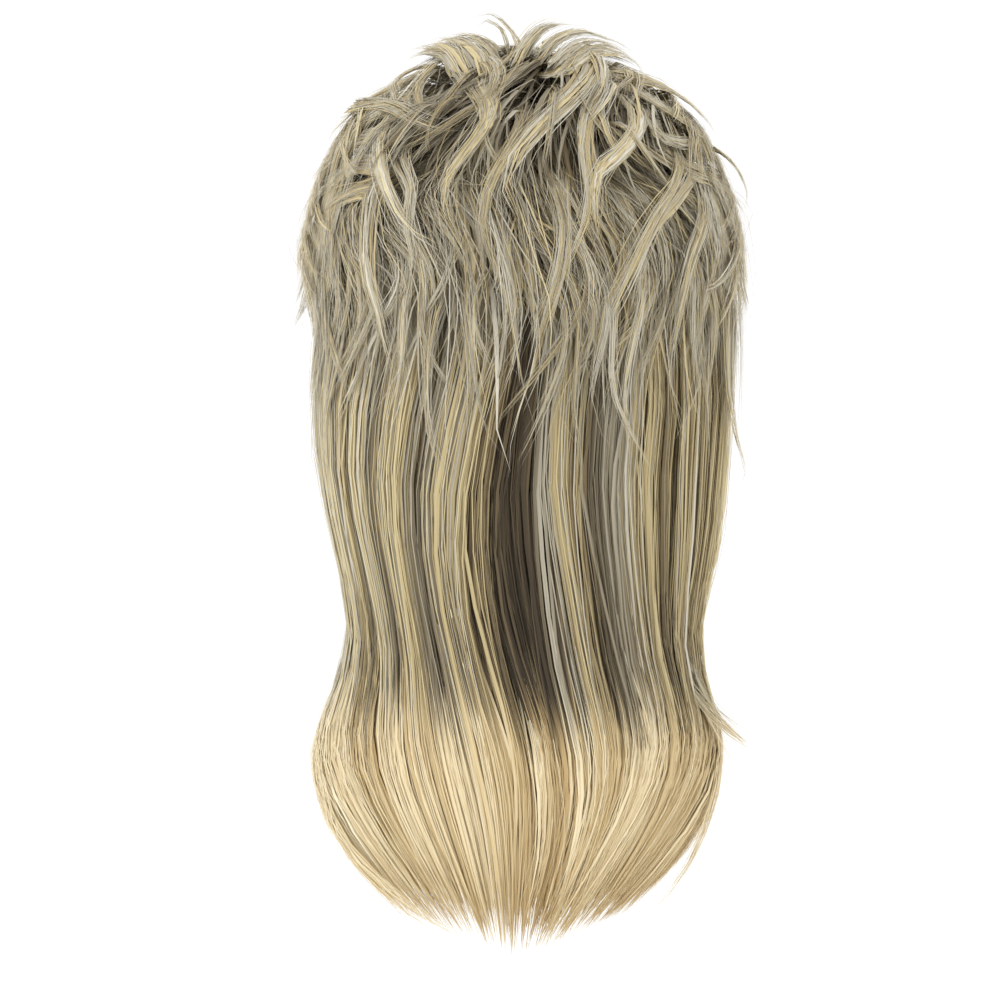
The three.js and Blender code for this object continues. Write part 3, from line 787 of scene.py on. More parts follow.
def long_row(rng, row, order, count, segments, locks, shade, thickness, level_range, cling_most):
    """Long strands drawn into locks, each lock to a tip of its own, and all of them towards the longest tip."""
    sizes = bpy.context.scene.wig_sizes
    half = row["halfTurn"]
    centres, tones, lifts, warms = locks
    edges = np.concatenate([[-half], (centres[1:] + centres[:-1]) / 2, [half]])
    root = np.clip(rng.uniform(-half, half, count), -half + 0.01, half - 0.01)
    index = np.clip(np.searchsorted(edges, root) - 1, 0, len(centres) - 1)
    middle, wide = (edges[index] + edges[index + 1]) / 2, (edges[index + 1] - edges[index]) / 2
    across = (root - middle) / wide
    # each lock is a few finer ones
    parts = rng.integers(2, 6, len(centres))[index]
    cling = rng.uniform(0.1, cling_most, len(centres))[index][:, None]
    sub = (np.floor((across + 1) / 2 * parts) + 0.5) / parts * 2 - 1
    level = level_range[0] + (level_range[1] - level_range[0]) * rng.beta(1.3, 1.0, count)
    steps = np.linspace(0, 1, 4 * segments + 1)[None]
    # the steps are shorter where the ends turn in
    t = steps + 0.3 * (1 + np.sin(2 * math.pi * (steps - 0.25))) / (2 * math.pi)
    keep = 1 - 0.1 * ease((t - 0.1) / 0.5)
    apart = ease((t - 0.1) / 0.4) * (1 - 0.6 * ease((t - 0.7) / 0.15))
    near = 1 - cling * rng.uniform(0.4, 1.0, (count, 1)) * apart
    a = sub[:, None] * keep + (across - sub)[:, None] * near
    phase = rng.uniform(0, 6.28, len(centres))
    size = rng.uniform(0.3, 1.0, len(centres)) * math.degrees(sizes.wave)
    start = sewn_at(row, root)
    gather = sizes.gather * (1 - 0.35 * rng.uniform(0, 1, count) * (1 - np.abs(root) / half))
    drop = hem_drop(np.abs(root - TIP_TURN) * (1 - gather)) * row["tip"] * (1 - 0.09 * rng.uniform(0, 1, count) ** 2)
    short = rng.random(count) < 0.12
    drop = np.where(short, drop * rng.uniform(0.75, 0.96, count), drop)
    path = start[:, None] + (path_to(drop) - start)[:, None] * t
    place = np.maximum(place_at(path), 0)
    draw = gather[:, None] * np.clip((place - 0.62) / (0.97 - 0.62), 0, 1.1) ** 1.55
    sway = size[index][:, None] * np.sin(place * 6 + phase[index][:, None]) * ease(t * 2)
    turn = middle[:, None] + wide[:, None] * a + sway
    phases = rng.uniform(0, 6, (count, 1))
    turn = turn + rng.normal(0, 0.4, (count, 1)) * np.sin(t * rng.uniform(3, 9, (count, 1)) + phases)
    stray = (rng.random(count) < 0.06)[:, None]
    turn = turn + stray * rng.normal(0, 3, (count, 1)) * t**2
    loose = (rng.random(count) < 0.15)[:, None]
    bends = rng.uniform(2.5, 5.5, (count, 1))
    turn = turn + loose * rng.normal(0, 1.7, (count, 1)) * np.sin(t * bends + phases) * ease(t * 3)
    shift = flow((ring(path)["side"] + 0.6 * HAIR_DEPTH) * np.sin(np.radians(turn)), place) * (1 - draw)
    shift = shift * ease(np.cos(np.radians(turn)) * 3)
    turn = turn + (TIP_TURN - turn) * draw
    depth = weft_depth(row, turn, path)
    base = base_over(order, turn, path) + (flare_at(path) * 0.75 if order == 2 else 0)
    groove = (0.15 * across[:, None] ** 2 + 0.45 * (1 - lifts[index][:, None])) * (1 - 0.8 * loose)
    groove = groove * (1 - 0.8 * ease((place - 0.58) / 0.15))
    crest = np.where(loose, 0.4 + 0.6 * level[:, None], level[:, None]) * (1 - groove * ease(t * 3))
    off = base + depth * crest * 1.05 + stray * 0.001 * t
    centre = spot(turn, path, off)
    centre[..., 0] = centre[..., 0] * waist_width(place) + waist_shift(place) + shift
    centre = soften(centre, 20, 4)
    width = rng.uniform(*thickness, count) * MM
    even = np.interp(root, centres, tones)
    # Strands that lie lower in the row are darker, and shade darkens the whole family: painted shade.
    tone = 0.5 * tones[index] + 0.5 * even + rng.normal(0, 0.12, count) - 0.12 * (1 - level)
    warm = (rng.random(count) < warms[index]) * 1.0
    late = rng.normal(0, 5 * MM, len(centres))[index] + LATE_GOLD * np.sin(np.radians(root))
    return family(centre, outward(turn, path)[:, ::4], width, tone - shade, warm, 0.8, late)


class WIG_OT_under_hair(bpy.types.Operator):
    """Make the two hidden rows of long hair"""

    bl_idname = "wig.under_hair"
    bl_label = "Under Hair"

    def execute(self, context):
        sizes = context.scene.wig_sizes
        gold = sizes.gold_height
        for order, (name, count) in enumerate((("nape_weft", 560), ("lower_weft", 800))):
            rng = rng_for(order)
            row = WEFTS[order]
            widths = rng.uniform(0.6, 1.4, 19 + 3 * order)
            centres = -row["halfTurn"] + 2 * row["halfTurn"] * (np.cumsum(widths) - widths / 2) / widths.sum()
            tones = rng.uniform(0.2, 0.5, len(centres))
            lifts = rng.uniform(0.3, 1, len(centres))
            locks = centres, tones, lifts, np.full(len(centres), 0.5)
            # These hidden rows are made darker, here and in their material: painted shade.
            strands = long_row(rng, row, order, int(count * sizes.fullness), 11, locks, 0.04, (1.4, 2.6), (0, 1), 0.5)
            low, high = 0.1, MANE_LENGTH + 0.004
            made = strand_mesh(name.replace("weft", "strands"), [strands], low, high, True)
            material = hair_material(name.replace("weft", "hair"), palette(), (gold - low) / (high - low), 0.0, 0.08)
            finish_piece(made, "under_hair", material, name)
        return {"FINISHED"}


class WIG_OT_long_hair(bpy.types.Operator):
    """Make the outer row of long hair"""

    bl_idname = "wig.long_hair"
    bl_label = "Long Hair"

    def execute(self, context):
        sizes = context.scene.wig_sizes
        rng = rng_for(5)
        row = WEFTS[2]
        path = path_to(0.24)
        reach = ring(path)["side"] + base_over(2, 0, path) + 0.006
        places = np.array([r["x"] for r in MANE_LOCKS]) * MM
        centres = np.degrees(np.arcsin(np.clip(places / reach, -0.99, 0.99)))
        locks = centres, *(np.array([r[key] for r in MANE_LOCKS]) for key in ("tone", "lift", "warm"))
        # The wide wisps that lie lowest are darkened most by their shade: painted shade.
        strands = [
            long_row(rng, row, 2, int(count * sizes.fullness), 14, locks, shade, thickness, level, cling)
            for count, shade, thickness, level, cling in (
                (240, 0.1, (2.0, 3.2), (0.0, 0.25), 0.2),
                (560, 0.02, (1.1, 2.2), (0.1, 0.85), 0.6),
                (1420, 0.0, (0.3, 0.65), (0.15, 1.0), 0.8),
            )
        ]
        strands += shown_locks(rng, "long", 40)
        low, high = 0.02, MANE_LENGTH + 0.004
        made = strand_mesh("long_strands", joined(strands), low, high, True)
        gold = (sizes.gold_height - low) / (high - low)
        material = hair_material("long_hair", palette(), gold)
        finish_piece(made, "long_hair", material, "upper_weft")
        return {"FINISHED"}


# Short hair

# The locks that show most, seen from behind: the row they are in, tone, width and depth, how far they stand off
# as a share of HAIR_DEPTH, then six places across and down in millimetres
SHOWN_LOCKS = table(
    "row tone width thick lift x1 z1 x2 z2 x3 z3 x4 z4 x5 z5 x6 z6",
    ("crown", 0.74, 13, 4, 1.0, 31, 10, 30, -5, 12, -24, -3, -41, -8, -57, 2, -78),
    ("back", 0.72, 10, 4, 0.98, 35, 0, 32, -17, 28, -36, 31, -60, 24, -85, 11, -106),
    ("back", 0.74, 11, 4, 1.0, 49, -12, 53, -26, 45, -40, 34, -51, 33, -70, 37, -90),
    ("back", 0.76, 13, 5, 1.0, 74, -38, 71, -55, 61, -71, 52, -90, 43, -109, 34, -127),
    ("back", 0.72, 12, 5, 0.96, 81, -50, 84, -67, 78, -86, 74, -103, 70, -122, 64, -143),
    ("back", 0.7, 10, 4, 0.9, 91, -70, 89, -89, 86, -103, 80, -120, 75, -131, 70, -141),
    ("back", 0.66, 11, 4, 1.0, -21, -3, -15, -21, -23, -37, -33, -50, -36, -66, -23, -88),
    ("back", 0.76, 12, 5, 0.98, -60, -19, -66, -36, -62, -55, -55, -71, -46, -80, -35, -86),
    ("back", 0.68, 9, 4, 0.94, -56, -38, -51, -55, -53, -72, -50, -88, -52, -101, -57, -114),
    ("back", 0.74, 12, 5, 0.96, -66, -50, -71, -72, -71, -94, -66, -113, -62, -131, -57, -145),
    ("back", 0.7, 12, 4, 0.92, -83, -72, -89, -91, -92, -110, -89, -127, -84, -142, -79, -154),
    ("back", 0.56, 10, 4, 0.96, 4, -22, -4, -38, -14, -54, -18, -71, -15, -87, -9, -104),
    ("back", 0.62, 9, 4, 0.9, 14, -55, 18, -74, 16, -94, 11, -112, 6, -128, 3, -142),
    ("back", 0.64, 9, 4, 0.88, 47, -79, 45, -96, 39, -110, 35, -125, 32, -137, 28, -147),
    ("back", 0.7, 8, 3, 0.9, 60, -96, 57, -109, 51, -120, 43, -128, 37, -133, 32, -135),
    ("side", 0.7, 12, 5, 0.9, -49, 0, -62, -5, -75, -11, -84, -19, -91, -26, -94, -34),
    ("side", 0.78, 12, 5, 0.95, -49, -14, -63, -16, -78, -25, -90, -36, -100, -47, -103, -53),
    ("side", 0.72, 11, 4, 0.95, -58, -31, -72, -29, -84, -34, -94, -42, -101, -48, -105, -46),
    ("side", 0.76, 12, 5, 0.9, -60, -43, -75, -42, -86, -48, -96, -55, -102, -63, -105, -61),
    ("side", 0.7, 11, 4, 0.9, -63, -53, -77, -56, -88, -61, -98, -68, -103, -72, -106, -70),
    ("side", 0.66, 9, 4, 1.0, -82, -13, -70, -13, -59, -17, -47, -25, -36, -29, -25, -28),
    ("right", 0.74, 12, 5, 0.95, 40, 1, 57, -1, 72, -6, 84, -15, 91, -24, 93, -31),
    ("right", 0.72, 10, 4, 0.98, 47, -5, 64, -15, 80, -24, 89, -31, 86, -39, 78, -36),
    ("right", 0.7, 10, 4, 0.95, 59, -18, 61, -28, 71, -32, 83, -30, 91, -34, 96, -42),
    ("right", 0.76, 12, 5, 0.92, 62, -36, 76, -45, 89, -48, 100, -55, 106, -66, 103, -72),
    ("right", 0.7, 11, 4, 0.92, 72, -31, 85, -31, 96, -36, 104, -46, 107, -57, 105, -66),
    ("right", 0.66, 10, 4, 0.9, 72, -53, 85, -58, 96, -62, 104, -68, 108, -72, 106, -74),
    ("long", 0.78, 10, 3, 1.0, 61, -228, 70, -257, 78, -276, 87, -295, 97, -308, 107, -317),
    ("long", 0.72, 8, 3, 1.0, 64, -247, 72, -271, 81, -290, 89, -306, 96, -318, 101, -329),
    ("long", 0.8, 10, 4, 0.95, 81, -266, 89, -295, 92, -324, 86, -350, 72, -377, 49, -399),
    ("long", 0.78, 10, 4, 0.95, -85, -271, -92, -310, -91, -343, -77, -367, -47, -391, -16, -408),
    ("long", 0.68, 12, 4, 0.97, -4, -258, 3, -288, 8, -318, 10, -345, 7, -372, -2, -402),
    ("long", 0.74, 10, 4, 0.98, 23, -262, 34, -290, 42, -315, 38, -345, 31, -372, 22, -396),
    ("long", 0.74, 9, 3, 1.0, 57, -238, 67, -266, 77, -286, 88, -299, 100, -310, 108, -316),
    ("crown", 0.66, 8, 4, 1.0, 6, 3, 12, 12, 19, 19, 28, 23, 37, 22, 46, 17),
    ("crown", 0.7, 13, 5, 1.0, 13, -1, 23, 10, 32, 16, 40, 17, 50, 13, 57, 6),
    ("crown", 0.64, 8, 4, 1.05, -1, 6, 4, 16, 11, 23, 18, 27, 27, 27, 35, 25),
    ("crown", 0.68, 13, 5, 1.0, -22, 0, -32, 8, -40, 12, -48, 13, -55, 11, -59, 6),
    ("crown", 0.6, 8, 3, 1.0, -10, 5, -16, 14, -24, 19, -32, 20, -38, 17, -41, 12),
    ("crown", 0.7, 16, 6, 1.0, -25, -5, -31, 6, -37, 13, -45, 17, -52, 17, -56, 14),
    ("crown", 0.64, 14, 5, 1.0, -14, -2, -18, 8, -26, 15, -34, 19, -40, 19, -45, 16),
    ("crown", 0.66, 4, 2, 1.1, -1, 6, -5, 20, -11, 29, -18, 34, -24, 31, -23, 22),
    ("crown", 0.62, 3, 2, 1.1, -6, 7, -8, 17, -12, 24, -17, 29, -20, 27, -18, 19),
    ("crown", 0.74, 8, 4, 1.05, -5, 0, 0, 12, 7, 21, 12, 25, 17, 28, 21, 30),
    ("crown", 0.76, 11, 4, 1.05, 7, 7, 17, 17, 28, 22, 39, 21, 50, 17, 58, 9),
    ("crown", 0.7, 13, 5, 1.0, 16, -1, 28, 9, 39, 12, 50, 10, 57, 5, 60, -1),
    ("crown", 0.76, 11, 5, 1.0, 21, 9, 31, 11, 36, 2, 36, -9, 29, -19, 24, -26),
    ("crown", 0.66, 10, 4, 0.98, -25, 2, -17, 6, -12, 0, -14, -11, -21, -19, -29, -23),
    ("crown", 0.6, 9, 4, 0.95, -39, 2, -45, -1, -49, -9, -47, -18, -41, -23, -35, -23),
    ("crown", 0.7, 9, 4, 0.98, -44, 5, -52, 3, -59, -2, -60, -10, -57, -17, -54, -24),
)


def shown_locks(rng, name, count):
    """The locks of a row that show most, each from under its neighbours to its tip."""
    made = []
    for r in SHOWN_LOCKS:
        if r["row"] != name:
            continue
        guide = []
        rises = (0.5, 0.7, 0.9, 1.0, 1.02, 1.02) if name == "long" else (0.8, 0.95, 1.0, 1.0, 0.95, 0.86)
        for k, rise in enumerate(rises, start=1):
            x, z = r[f"x{k}"] * MM, r[f"z{k}"] * MM
            off = HAIR_DEPTH * r["lift"] * rise * 0.96
            if name == "long":
                path = path_to(-z)
                off = r["lift"] * rise * float(over_wefts(0, path) - 0.25 * flare_at(path))
            guide.append(place_on(x, z, off))
        turn, path, off = guide[0]
        root = 0.3 if name == "crown" else 0.6
        guide.insert(0, (turn * 0.95, max(path - 0.016, 0.004), max(off * root, 0.004)))
        strands = max(int(count * r["width"] / 11 * bpy.context.scene.wig_sizes.fullness), 6)
        fan = {"long": 1, "crown": 1.2}.get(name, 2.4)
        width, thick = r["width"] * MM, r["thick"] * MM * 0.5
        made.append(lock(rng, laid(guide), width, thick, strands, r["tone"] - 0.06, 0.45, fan=fan, stray=0.8))
    return made


def waved_lock(rng, row, base, turn, share, length, tone, width, lift, tip_lift, count, limit=1.1):
    """A waved lock of a short row, rooted at a turn and at a share of the way down the row."""
    start, end = sewn_at(row, turn), hem_at(row, turn)
    one = np.ones(1)
    reach = (end - start) * length * 1.1
    root = start + (end - start) * share
    turns, paths = stream(turn * one, root * one, reach * one, 39, rng.normal(0, 0.22), rng.normal(0, 0.7))
    turns, paths, t = turns[0], paths[0], np.linspace(0, 1, 40)
    room = row_depth(row, base, turns, paths)
    off = base(turns, paths) + room * (0.25 + lift * np.sin(t * math.pi) ** 0.7) + tip_lift * HAIR_DEPTH * t**2
    off = np.minimum(off, HAIR_DEPTH * (limit - 0.22 * ease((paths - QUARTER + 0.02) / 0.04)))
    guide = spot(turns, paths, off), outward(turns, paths)
    return lock(rng, guide, width * MM, 3.5 * MM, count, tone, 0.35)


def combed_row(rng, row, base, bed, fine, tone, limit=1.1, longest=1.1):
    """Flat wisps next to the scalp, made darker as painted shade, and fine strands over them, all along a short row."""
    made = []
    for count, low, high, thinnest, widest, darker, segments in (
        (bed, 0.0, 0.6, 1.2, 2.4, 0.1, 7),
        (fine, 0.15, 0.95, 0.25, 0.6, 0.0, 8),
    ):
        count = int(count * bpy.context.scene.wig_sizes.fullness)
        turns = row["turn"] + row["halfTurn"] * rng.uniform(-1.03, 1.03, count)
        start, end = sewn_at(row, turns), hem_at(row, turns)
        begin = start + (end - start) * rng.uniform(-0.12, 0.4, count) * (rng.random(count) < 0.6)
        tips = begin + (end - start) * rng.uniform(0.65, 1.15, count)
        tips = np.minimum(tips, start + (end - start) * rng.uniform(0.5, longest, count))
        level = rng.uniform(low, high, count)[:, None]

        def off(turn, path, t):
            share = level * (0.4 + 0.6 * ease(t * 4)) * (1 - 0.6 * ease(t * 2 - 1))
            most = HAIR_DEPTH * (limit - 0.22 * ease((path - QUARTER + 0.02) / 0.04))
            return np.minimum(base(turn, path) + row_depth(row, base, turn, path) * share, most)

        # The wisps next to the scalp are darker: painted shade.
        shade = rng.normal(tone - darker, 0.09, count)
        width = rng.uniform(thinnest, widest, count) * MM
        made.append(comb(rng, count, segments, turns, begin, tips, off, shade, width))
    return made


class WIG_OT_back_layer(bpy.types.Operator):
    """Make the waved layer over the back of the head"""

    bl_idname = "wig.back_layer"
    bl_label = "Back Layer"

    def execute(self, context):
        sizes = context.scene.wig_sizes
        rng = rng_for(6)
        row = BACK_ROW
        made = combed_row(rng, row, over_wefts, 560, 960, 0.56, longest=1.45)
        for i in range(78):
            turn = -row["halfTurn"] + 2 * row["halfTurn"] * ((i * 0.618 + 0.1) % 1)
            share = rng.uniform(0.0, 0.6)
            length = rng.uniform(0.35, 0.62) if i % 3 else rng.uniform(0.75, 1.5) - share
            tone = rng.choice([0.44, 0.54, 0.64, 0.72])
            made.append(
                waved_lock(rng, row, over_wefts, turn, share, length, tone, rng.uniform(4, 9), 0.45,
                           rng.uniform(-0.08, 0.03), int(18 * sizes.fullness))
            )
        made += shown_locks(rng, "back", 50)
        made.append(flyaways(rng, int(240 * sizes.fullness), (-76, 76), (0.06, 0.15), over_back))
        piece = strand_mesh("back_strands", joined(made), 0, 1, False)
        material = hair_material("back_hair", palette(), None, 0.12, tip_light=0.1)
        finish_piece(piece, "short_hair", material, "back_layer")
        return {"FINISHED"}


def swept_locks(rng, count, strands):
    """Locks swept back over the ear, whose ends flick up and out."""
    turn = 82 + 50 * ((np.arange(count) * 0.618 + 0.2) % 1)
    path = 0.062 + 0.07 * ((np.arange(count) * 0.754 + 0.1) % 1)
    heading = rng.uniform(-1.5, -0.7, count)
    flick = rng.uniform(-0.045, 0.01, count)
    turns, paths = wander(turn, path, heading, lambda t: flick * (t > 0.4) + 0.012, rng.uniform(0.05, 0.075, count), 39)
    made = []
    for i in range(count):
        t = np.linspace(0, 1, 40)
        off = HAIR_DEPTH * (0.6 + 0.34 * ease(t * 2.2) + 0.08 * ease(t * 2 - 1))
        guide = spot(turns[i], paths[i], off), outward(turns[i], paths[i])
        made.append(lock(rng, guide, rng.uniform(6, 11) * MM, 4 * MM, strands, rng.choice([0.58, 0.7, 0.8]), 0.6))
    return made


class WIG_OT_sides(bpy.types.Operator):
    """Make the feathered sides, combed back over the ears"""

    bl_idname = "wig.sides"
    bl_label = "Sides"

    def execute(self, context):
        sizes = context.scene.wig_sizes
        row = SIDE_ROW
        for hand, name, shown in ((1, "side_right", "right"), (-1, "side_left", "side")):
            rng = rng_for(8 + hand)
            made = combed_row(rng, row, over_back, 320, 560, 0.65, 0.9)
            for i in range(16):
                turn = row["turn"] - row["halfTurn"] + 2 * row["halfTurn"] * ((i * 0.618 + 0.3) % 1)
                made.append(
                    waved_lock(rng, row, over_back, turn, rng.uniform(0, 0.45), rng.uniform(0.45, 0.66),
                               rng.choice([0.5, 0.62, 0.7, 0.78]), rng.uniform(5, 9), 0.3,
                               rng.uniform(-0.08, 0.0), int(20 * sizes.fullness), 0.95)
                )
            made += swept_locks(rng, 38, int(20 * sizes.fullness))
            made.append(flyaways(rng, int(200 * sizes.fullness), (62, 150), (0.07, 0.14), over_sides))
            families = joined(made)
            for f in families:
                f["centre"] = f["centre"] * (hand, 1, 1)
                f["out"] = f["out"] * (hand, 1, 1)
            families = joined(families + shown_locks(rng, shown, 52))
            piece = strand_mesh(name + "_strands", families, 0, 1, False)
            finish_piece(piece, "short_hair", hair_material(name + "_hair", palette(), None, 0.08, tip_light=0.1), name)
        return {"FINISHED"}


class WIG_OT_fringe(bpy.types.Operator):
    """Make the short row over the forehead"""

    bl_idname = "wig.fringe"
    bl_label = "Fringe"

    def execute(self, context):
        sizes = context.scene.wig_sizes
        row = FRINGE_ROW
        rng = rng_for(11)
        made = combed_row(rng, row, over_sides, 120, 300, 0.48)
        for i in range(22):
            turn = row["turn"] - row["halfTurn"] + 2 * row["halfTurn"] * ((i * 0.618 + 0.3) % 1)
            made.append(
                waved_lock(rng, row, over_sides, turn, rng.uniform(0, 0.3), rng.uniform(0.6, 0.8),
                           rng.choice([0.5, 0.62, 0.74]), rng.uniform(6, 10), 0.3,
                           rng.uniform(0.0, 0.08), int(18 * sizes.fullness))
            )
        piece = strand_mesh("fringe_strands", joined(made), 0, 1, False)
        finish_piece(piece, "short_hair", hair_material("fringe_hair", palette(), None, 0.12), "fringe")
        return {"FINISHED"}


# How far down the crown's locks reach, round the head from the middle of the back
CROWN_REACH = table("turn tip", (0, 0.43), (60, 0.39), (110, 0.36), (180, 0.31))
crown_tip = column(CROWN_REACH, "turn", "tip")


def crown_reach(turn):
    return path_to(CAP_NAPE * crown_tip(np.abs(np.mod(turn + 180, 360) - 180)))


def crown_form(turn, path):
    return HAIR_DEPTH * (0.5 + 0.45 * ease(1.6 * path / crown_reach(turn)))


def crown_places(rng, count):
    """Turns and paths of roots spread over the top of the cap, down to where the other rows are sewn."""
    share = rng.random(count)
    return rng.uniform(-180, 180, count), CROWN_HEIGHT * np.arccos(1 - share * (1 - math.cos(0.86)))


def back_heading(rng, turn, loose):
    """The heading of hair that is combed back over the middle from the front of the top."""
    return math.pi + np.radians(180 - turn) * 0.6 + rng.normal(0, loose, len(turn))


class WIG_OT_crown(bpy.types.Operator):
    """Make the short locks that radiate from the crown, and the tufts that stand up from it"""

    bl_idname = "wig.crown"
    bl_label = "Crown"

    def execute(self, context):
        sizes = context.scene.wig_sizes
        rng = rng_for(12)
        made = []
        for count, low, high, thinnest, widest, tone, back in (
            (740, 0.35, 0.98, 1.2, 2.4, 0.58, False),
            (700, 0.3, 1.03, 0.25, 0.6, 0.56, False),
            (230, 0.3, 0.95, 1.2, 2.2, 0.56, True),
            (260, 0.5, 1.08, 0.25, 0.6, 0.54, True),
        ):
            count = int(count * sizes.fullness)
            turn, path = crown_places(rng, count)
            length = np.minimum(rng.uniform(0.04, 0.068, count), crown_reach(turn) + 0.006 - path)
            if back:
                turn, path = rng.uniform(110, 250, count), rng.uniform(0.004, 0.045, count)
                length = rng.uniform(0.05, 0.075, count)
                turns, paths = wander(turn, path, back_heading(rng, turn, 0.2), swirl(rng, count, 0.4, 7), length, 7)
            else:
                turns, paths = stream(turn, path, length, 7, rng.normal(0, 0.2, count), rng.normal(0, 0.4, count))
            t = np.linspace(0, 1, 8)[None]
            level = rng.uniform(low, high, (count, 1))
            off = CAP_WALL + (crown_form(turns, paths) * level - CAP_WALL) * (0.4 + 0.6 * ease(t / 0.3))
            # Darker in the middle of the back and between locks: painted shade.
            tones = rng.normal(tone, 0.12, count) - painted_shade_at(turns[:, 3], paths[:, 3])
            warm = (rng.random(count) < 0.1 + 0.2 * (tones > 0.5)) * 1.0
            made.append(
                family(spot(turns, paths, off), outward(turns, paths), rng.uniform(thinnest, widest, count) * MM,
                       tones, warm)
            )
        count = 84
        turn, path = crown_places(rng, count)
        length = np.minimum(rng.uniform(0.045, 0.07, count), crown_reach(turn) + 0.01 - path)
        turns, paths = stream(turn, path, length, 39, rng.normal(0, 0.25, count), rng.normal(0, 0.9, count))
        over = count // 6
        turn, path = rng.uniform(120, 240, over), rng.uniform(0.006, 0.035, over)
        over_turns, over_paths = wander(
            turn, path, back_heading(rng, turn, 0.4), swirl(rng, over, 1.2, 39), rng.uniform(0.05, 0.075, over), 39
        )
        turns[:over], paths[:over] = over_turns, over_paths
        t = np.linspace(0, 1, 40)
        for i in range(count):
            rise = 0.3 + 0.66 * ease(t / 0.4) + rng.uniform(-0.1, 0.14) * t**2
            guide = spot(turns[i], paths[i], crown_form(turns[i], paths[i]) * rise), outward(turns[i], paths[i])
            made.append(
                lock(rng, guide, rng.uniform(4, 9) * MM, 3.5 * MM, int(18 * sizes.fullness),
                     rng.choice([0.4, 0.52, 0.62, 0.7]), 0.4)
            )
        made.append(flyaways(rng, int(220 * sizes.fullness), (-180, 180), (0.0, 0.09), crown_form))
        made += shown_locks(rng, "crown", 44)
        piece = strand_mesh("crown_strands", joined(made), 0, 1, False)
        finish_piece(piece, "short_hair", hair_material("crown_hair", palette(), None, 0.1), "crown")
        return {"FINISHED"}


# The cap's edge: turn is the angle from the middle of the back, drop a share of CAP_NAPE
CAP_EDGE = table(
    "turn drop", (0, 1), (40, 0.95), (66, 0.78), (84, 0.62), (99, 0.72), (112, 0.6), (135, 0.43), (180, 0.37)
)
cap_drop = column(CAP_EDGE, "turn", "drop")


def cap_edge(turn):
    return path_to(CAP_NAPE * cap_drop(np.abs(np.mod(turn + 180, 360) - 180)))


def band_mesh(name, bands, corners=8):
    """One mesh of closed bands with a rounded section. A band is its turns, paths and distances off the scalp,
    its width and thickness, and whether its ends meet."""
    points, faces = [], []
    first = 0
    around = np.linspace(0, 2 * math.pi, corners, endpoint=False) + math.pi / corners
    for turn, path, off, width, thick, ring_shut in bands:
        centre, out = spot(turn, path, off), outward(turn, path)
        if ring_shut:
            along = np.roll(centre, -1, 0) - np.roll(centre, 1, 0)
        else:
            along = np.gradient(centre, axis=0)
        along /= np.linalg.norm(along, axis=1, keepdims=True)
        side = np.cross(along, out)
        side /= np.linalg.norm(side, axis=1, keepdims=True)
        lift = np.cross(side, along)
        flat = np.sign(np.cos(around)) * np.abs(np.cos(around)) ** 0.6 * width / 2
        high = np.sign(np.sin(around)) * np.abs(np.sin(around)) ** 0.6 * thick / 2
        block = centre[:, None] + side[:, None] * flat[None, :, None] + lift[:, None] * high[None, :, None]
        points.append(block.reshape(-1, 3))
        n = len(turn)
        for i in range(n if ring_shut else n - 1):
            here, there = first + i * corners, first + (i + 1) % n * corners
            for a in range(corners):
                b = (a + 1) % corners
                faces.append((here + a, there + a, there + b, here + b))
        if not ring_shut:
            faces.append(tuple(first + a for a in range(corners)))
            faces.append(tuple(first + (n - 1) * corners + a for a in reversed(range(corners))))
        first += n * corners
    mesh = bpy.data.meshes.new(name)
    mesh.from_pydata(np.concatenate(points).tolist(), [], faces)
    mesh.shade_smooth()
    made = bpy.data.objects.new(name, mesh)
    bpy.context.scene.collection.objects.link(made)
    return made


def cloth_material(name, dark, light, scale):
    """Dark woven cloth, with threads that stand a little proud."""
    paint = Paint(name, Roughness=0.85)
    place = paint.add("ShaderNodeTexCoord", None, None, output=3)
    cell = paint.add(
        "ShaderNodeTexVoronoi", {"feature": "DISTANCE_TO_EDGE"}, {"Vector": place, "Scale": scale}, output=0
    )
    cloud = paint.add("ShaderNodeTexNoise", None, {"Vector": place, "Scale": 60.0, "Detail": 2.0})
    thread = 1 - paint.step(cell, 0.04, 0.16)
    colour = paint.mix(thread * (0.55 + cloud * 0.5), (*linear(*dark), 1), (*linear(*light), 1))
    bump = paint.add("ShaderNodeBump", None, {"Height": thread, "Strength": 0.5, "Distance": 0.0003})
    return paint.wear(Base_Color=colour, Normal=bump)


class WIG_OT_cap(bpy.types.Operator):
    """Finish the net cap, with its hem and the sewn tracks inside it"""

    bl_idname = "wig.cap"
    bl_label = "Cap"

    def execute(self, context):
        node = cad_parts["cap"]
        node.data.materials.clear()
        node.data.materials.append(cloth_material("cap_net", (34, 28, 23), (96, 83, 68), 520.0))
        turn = np.linspace(-180, 180, 144, endpoint=False)
        path = cap_edge(turn) - 3 * MM
        hem = band_mesh("cap_hem", [(turn, path, 0 * turn + CAP_WALL / 2, 7 * MM, 3.2 * MM, True)])
        finish_piece(hem, "cap_net", cloth_material("cap_hem", (40, 33, 27), (78, 67, 55), 900.0))
        bands = []
        for rib in np.arange(0.026, 0.225, 0.0165):
            open_to = np.abs(turn)[cap_edge(turn) < rib + 9 * MM].min(initial=181)
            if open_to > 180:
                turns = turn
            else:
                turns = np.linspace(-open_to + 2, open_to - 2, 96)
            bands.append((turns, 0 * turns + rib, 0 * turns - 0.1 * MM, 3.4 * MM, 0.9 * MM, open_to > 180))
        tracks = band_mesh("cap_tracks", bands)
        finish_piece(tracks, "cap_net", cloth_material("cap_tracks", (52, 43, 34), (104, 90, 72), 1100.0))
        return {"FINISHED"}


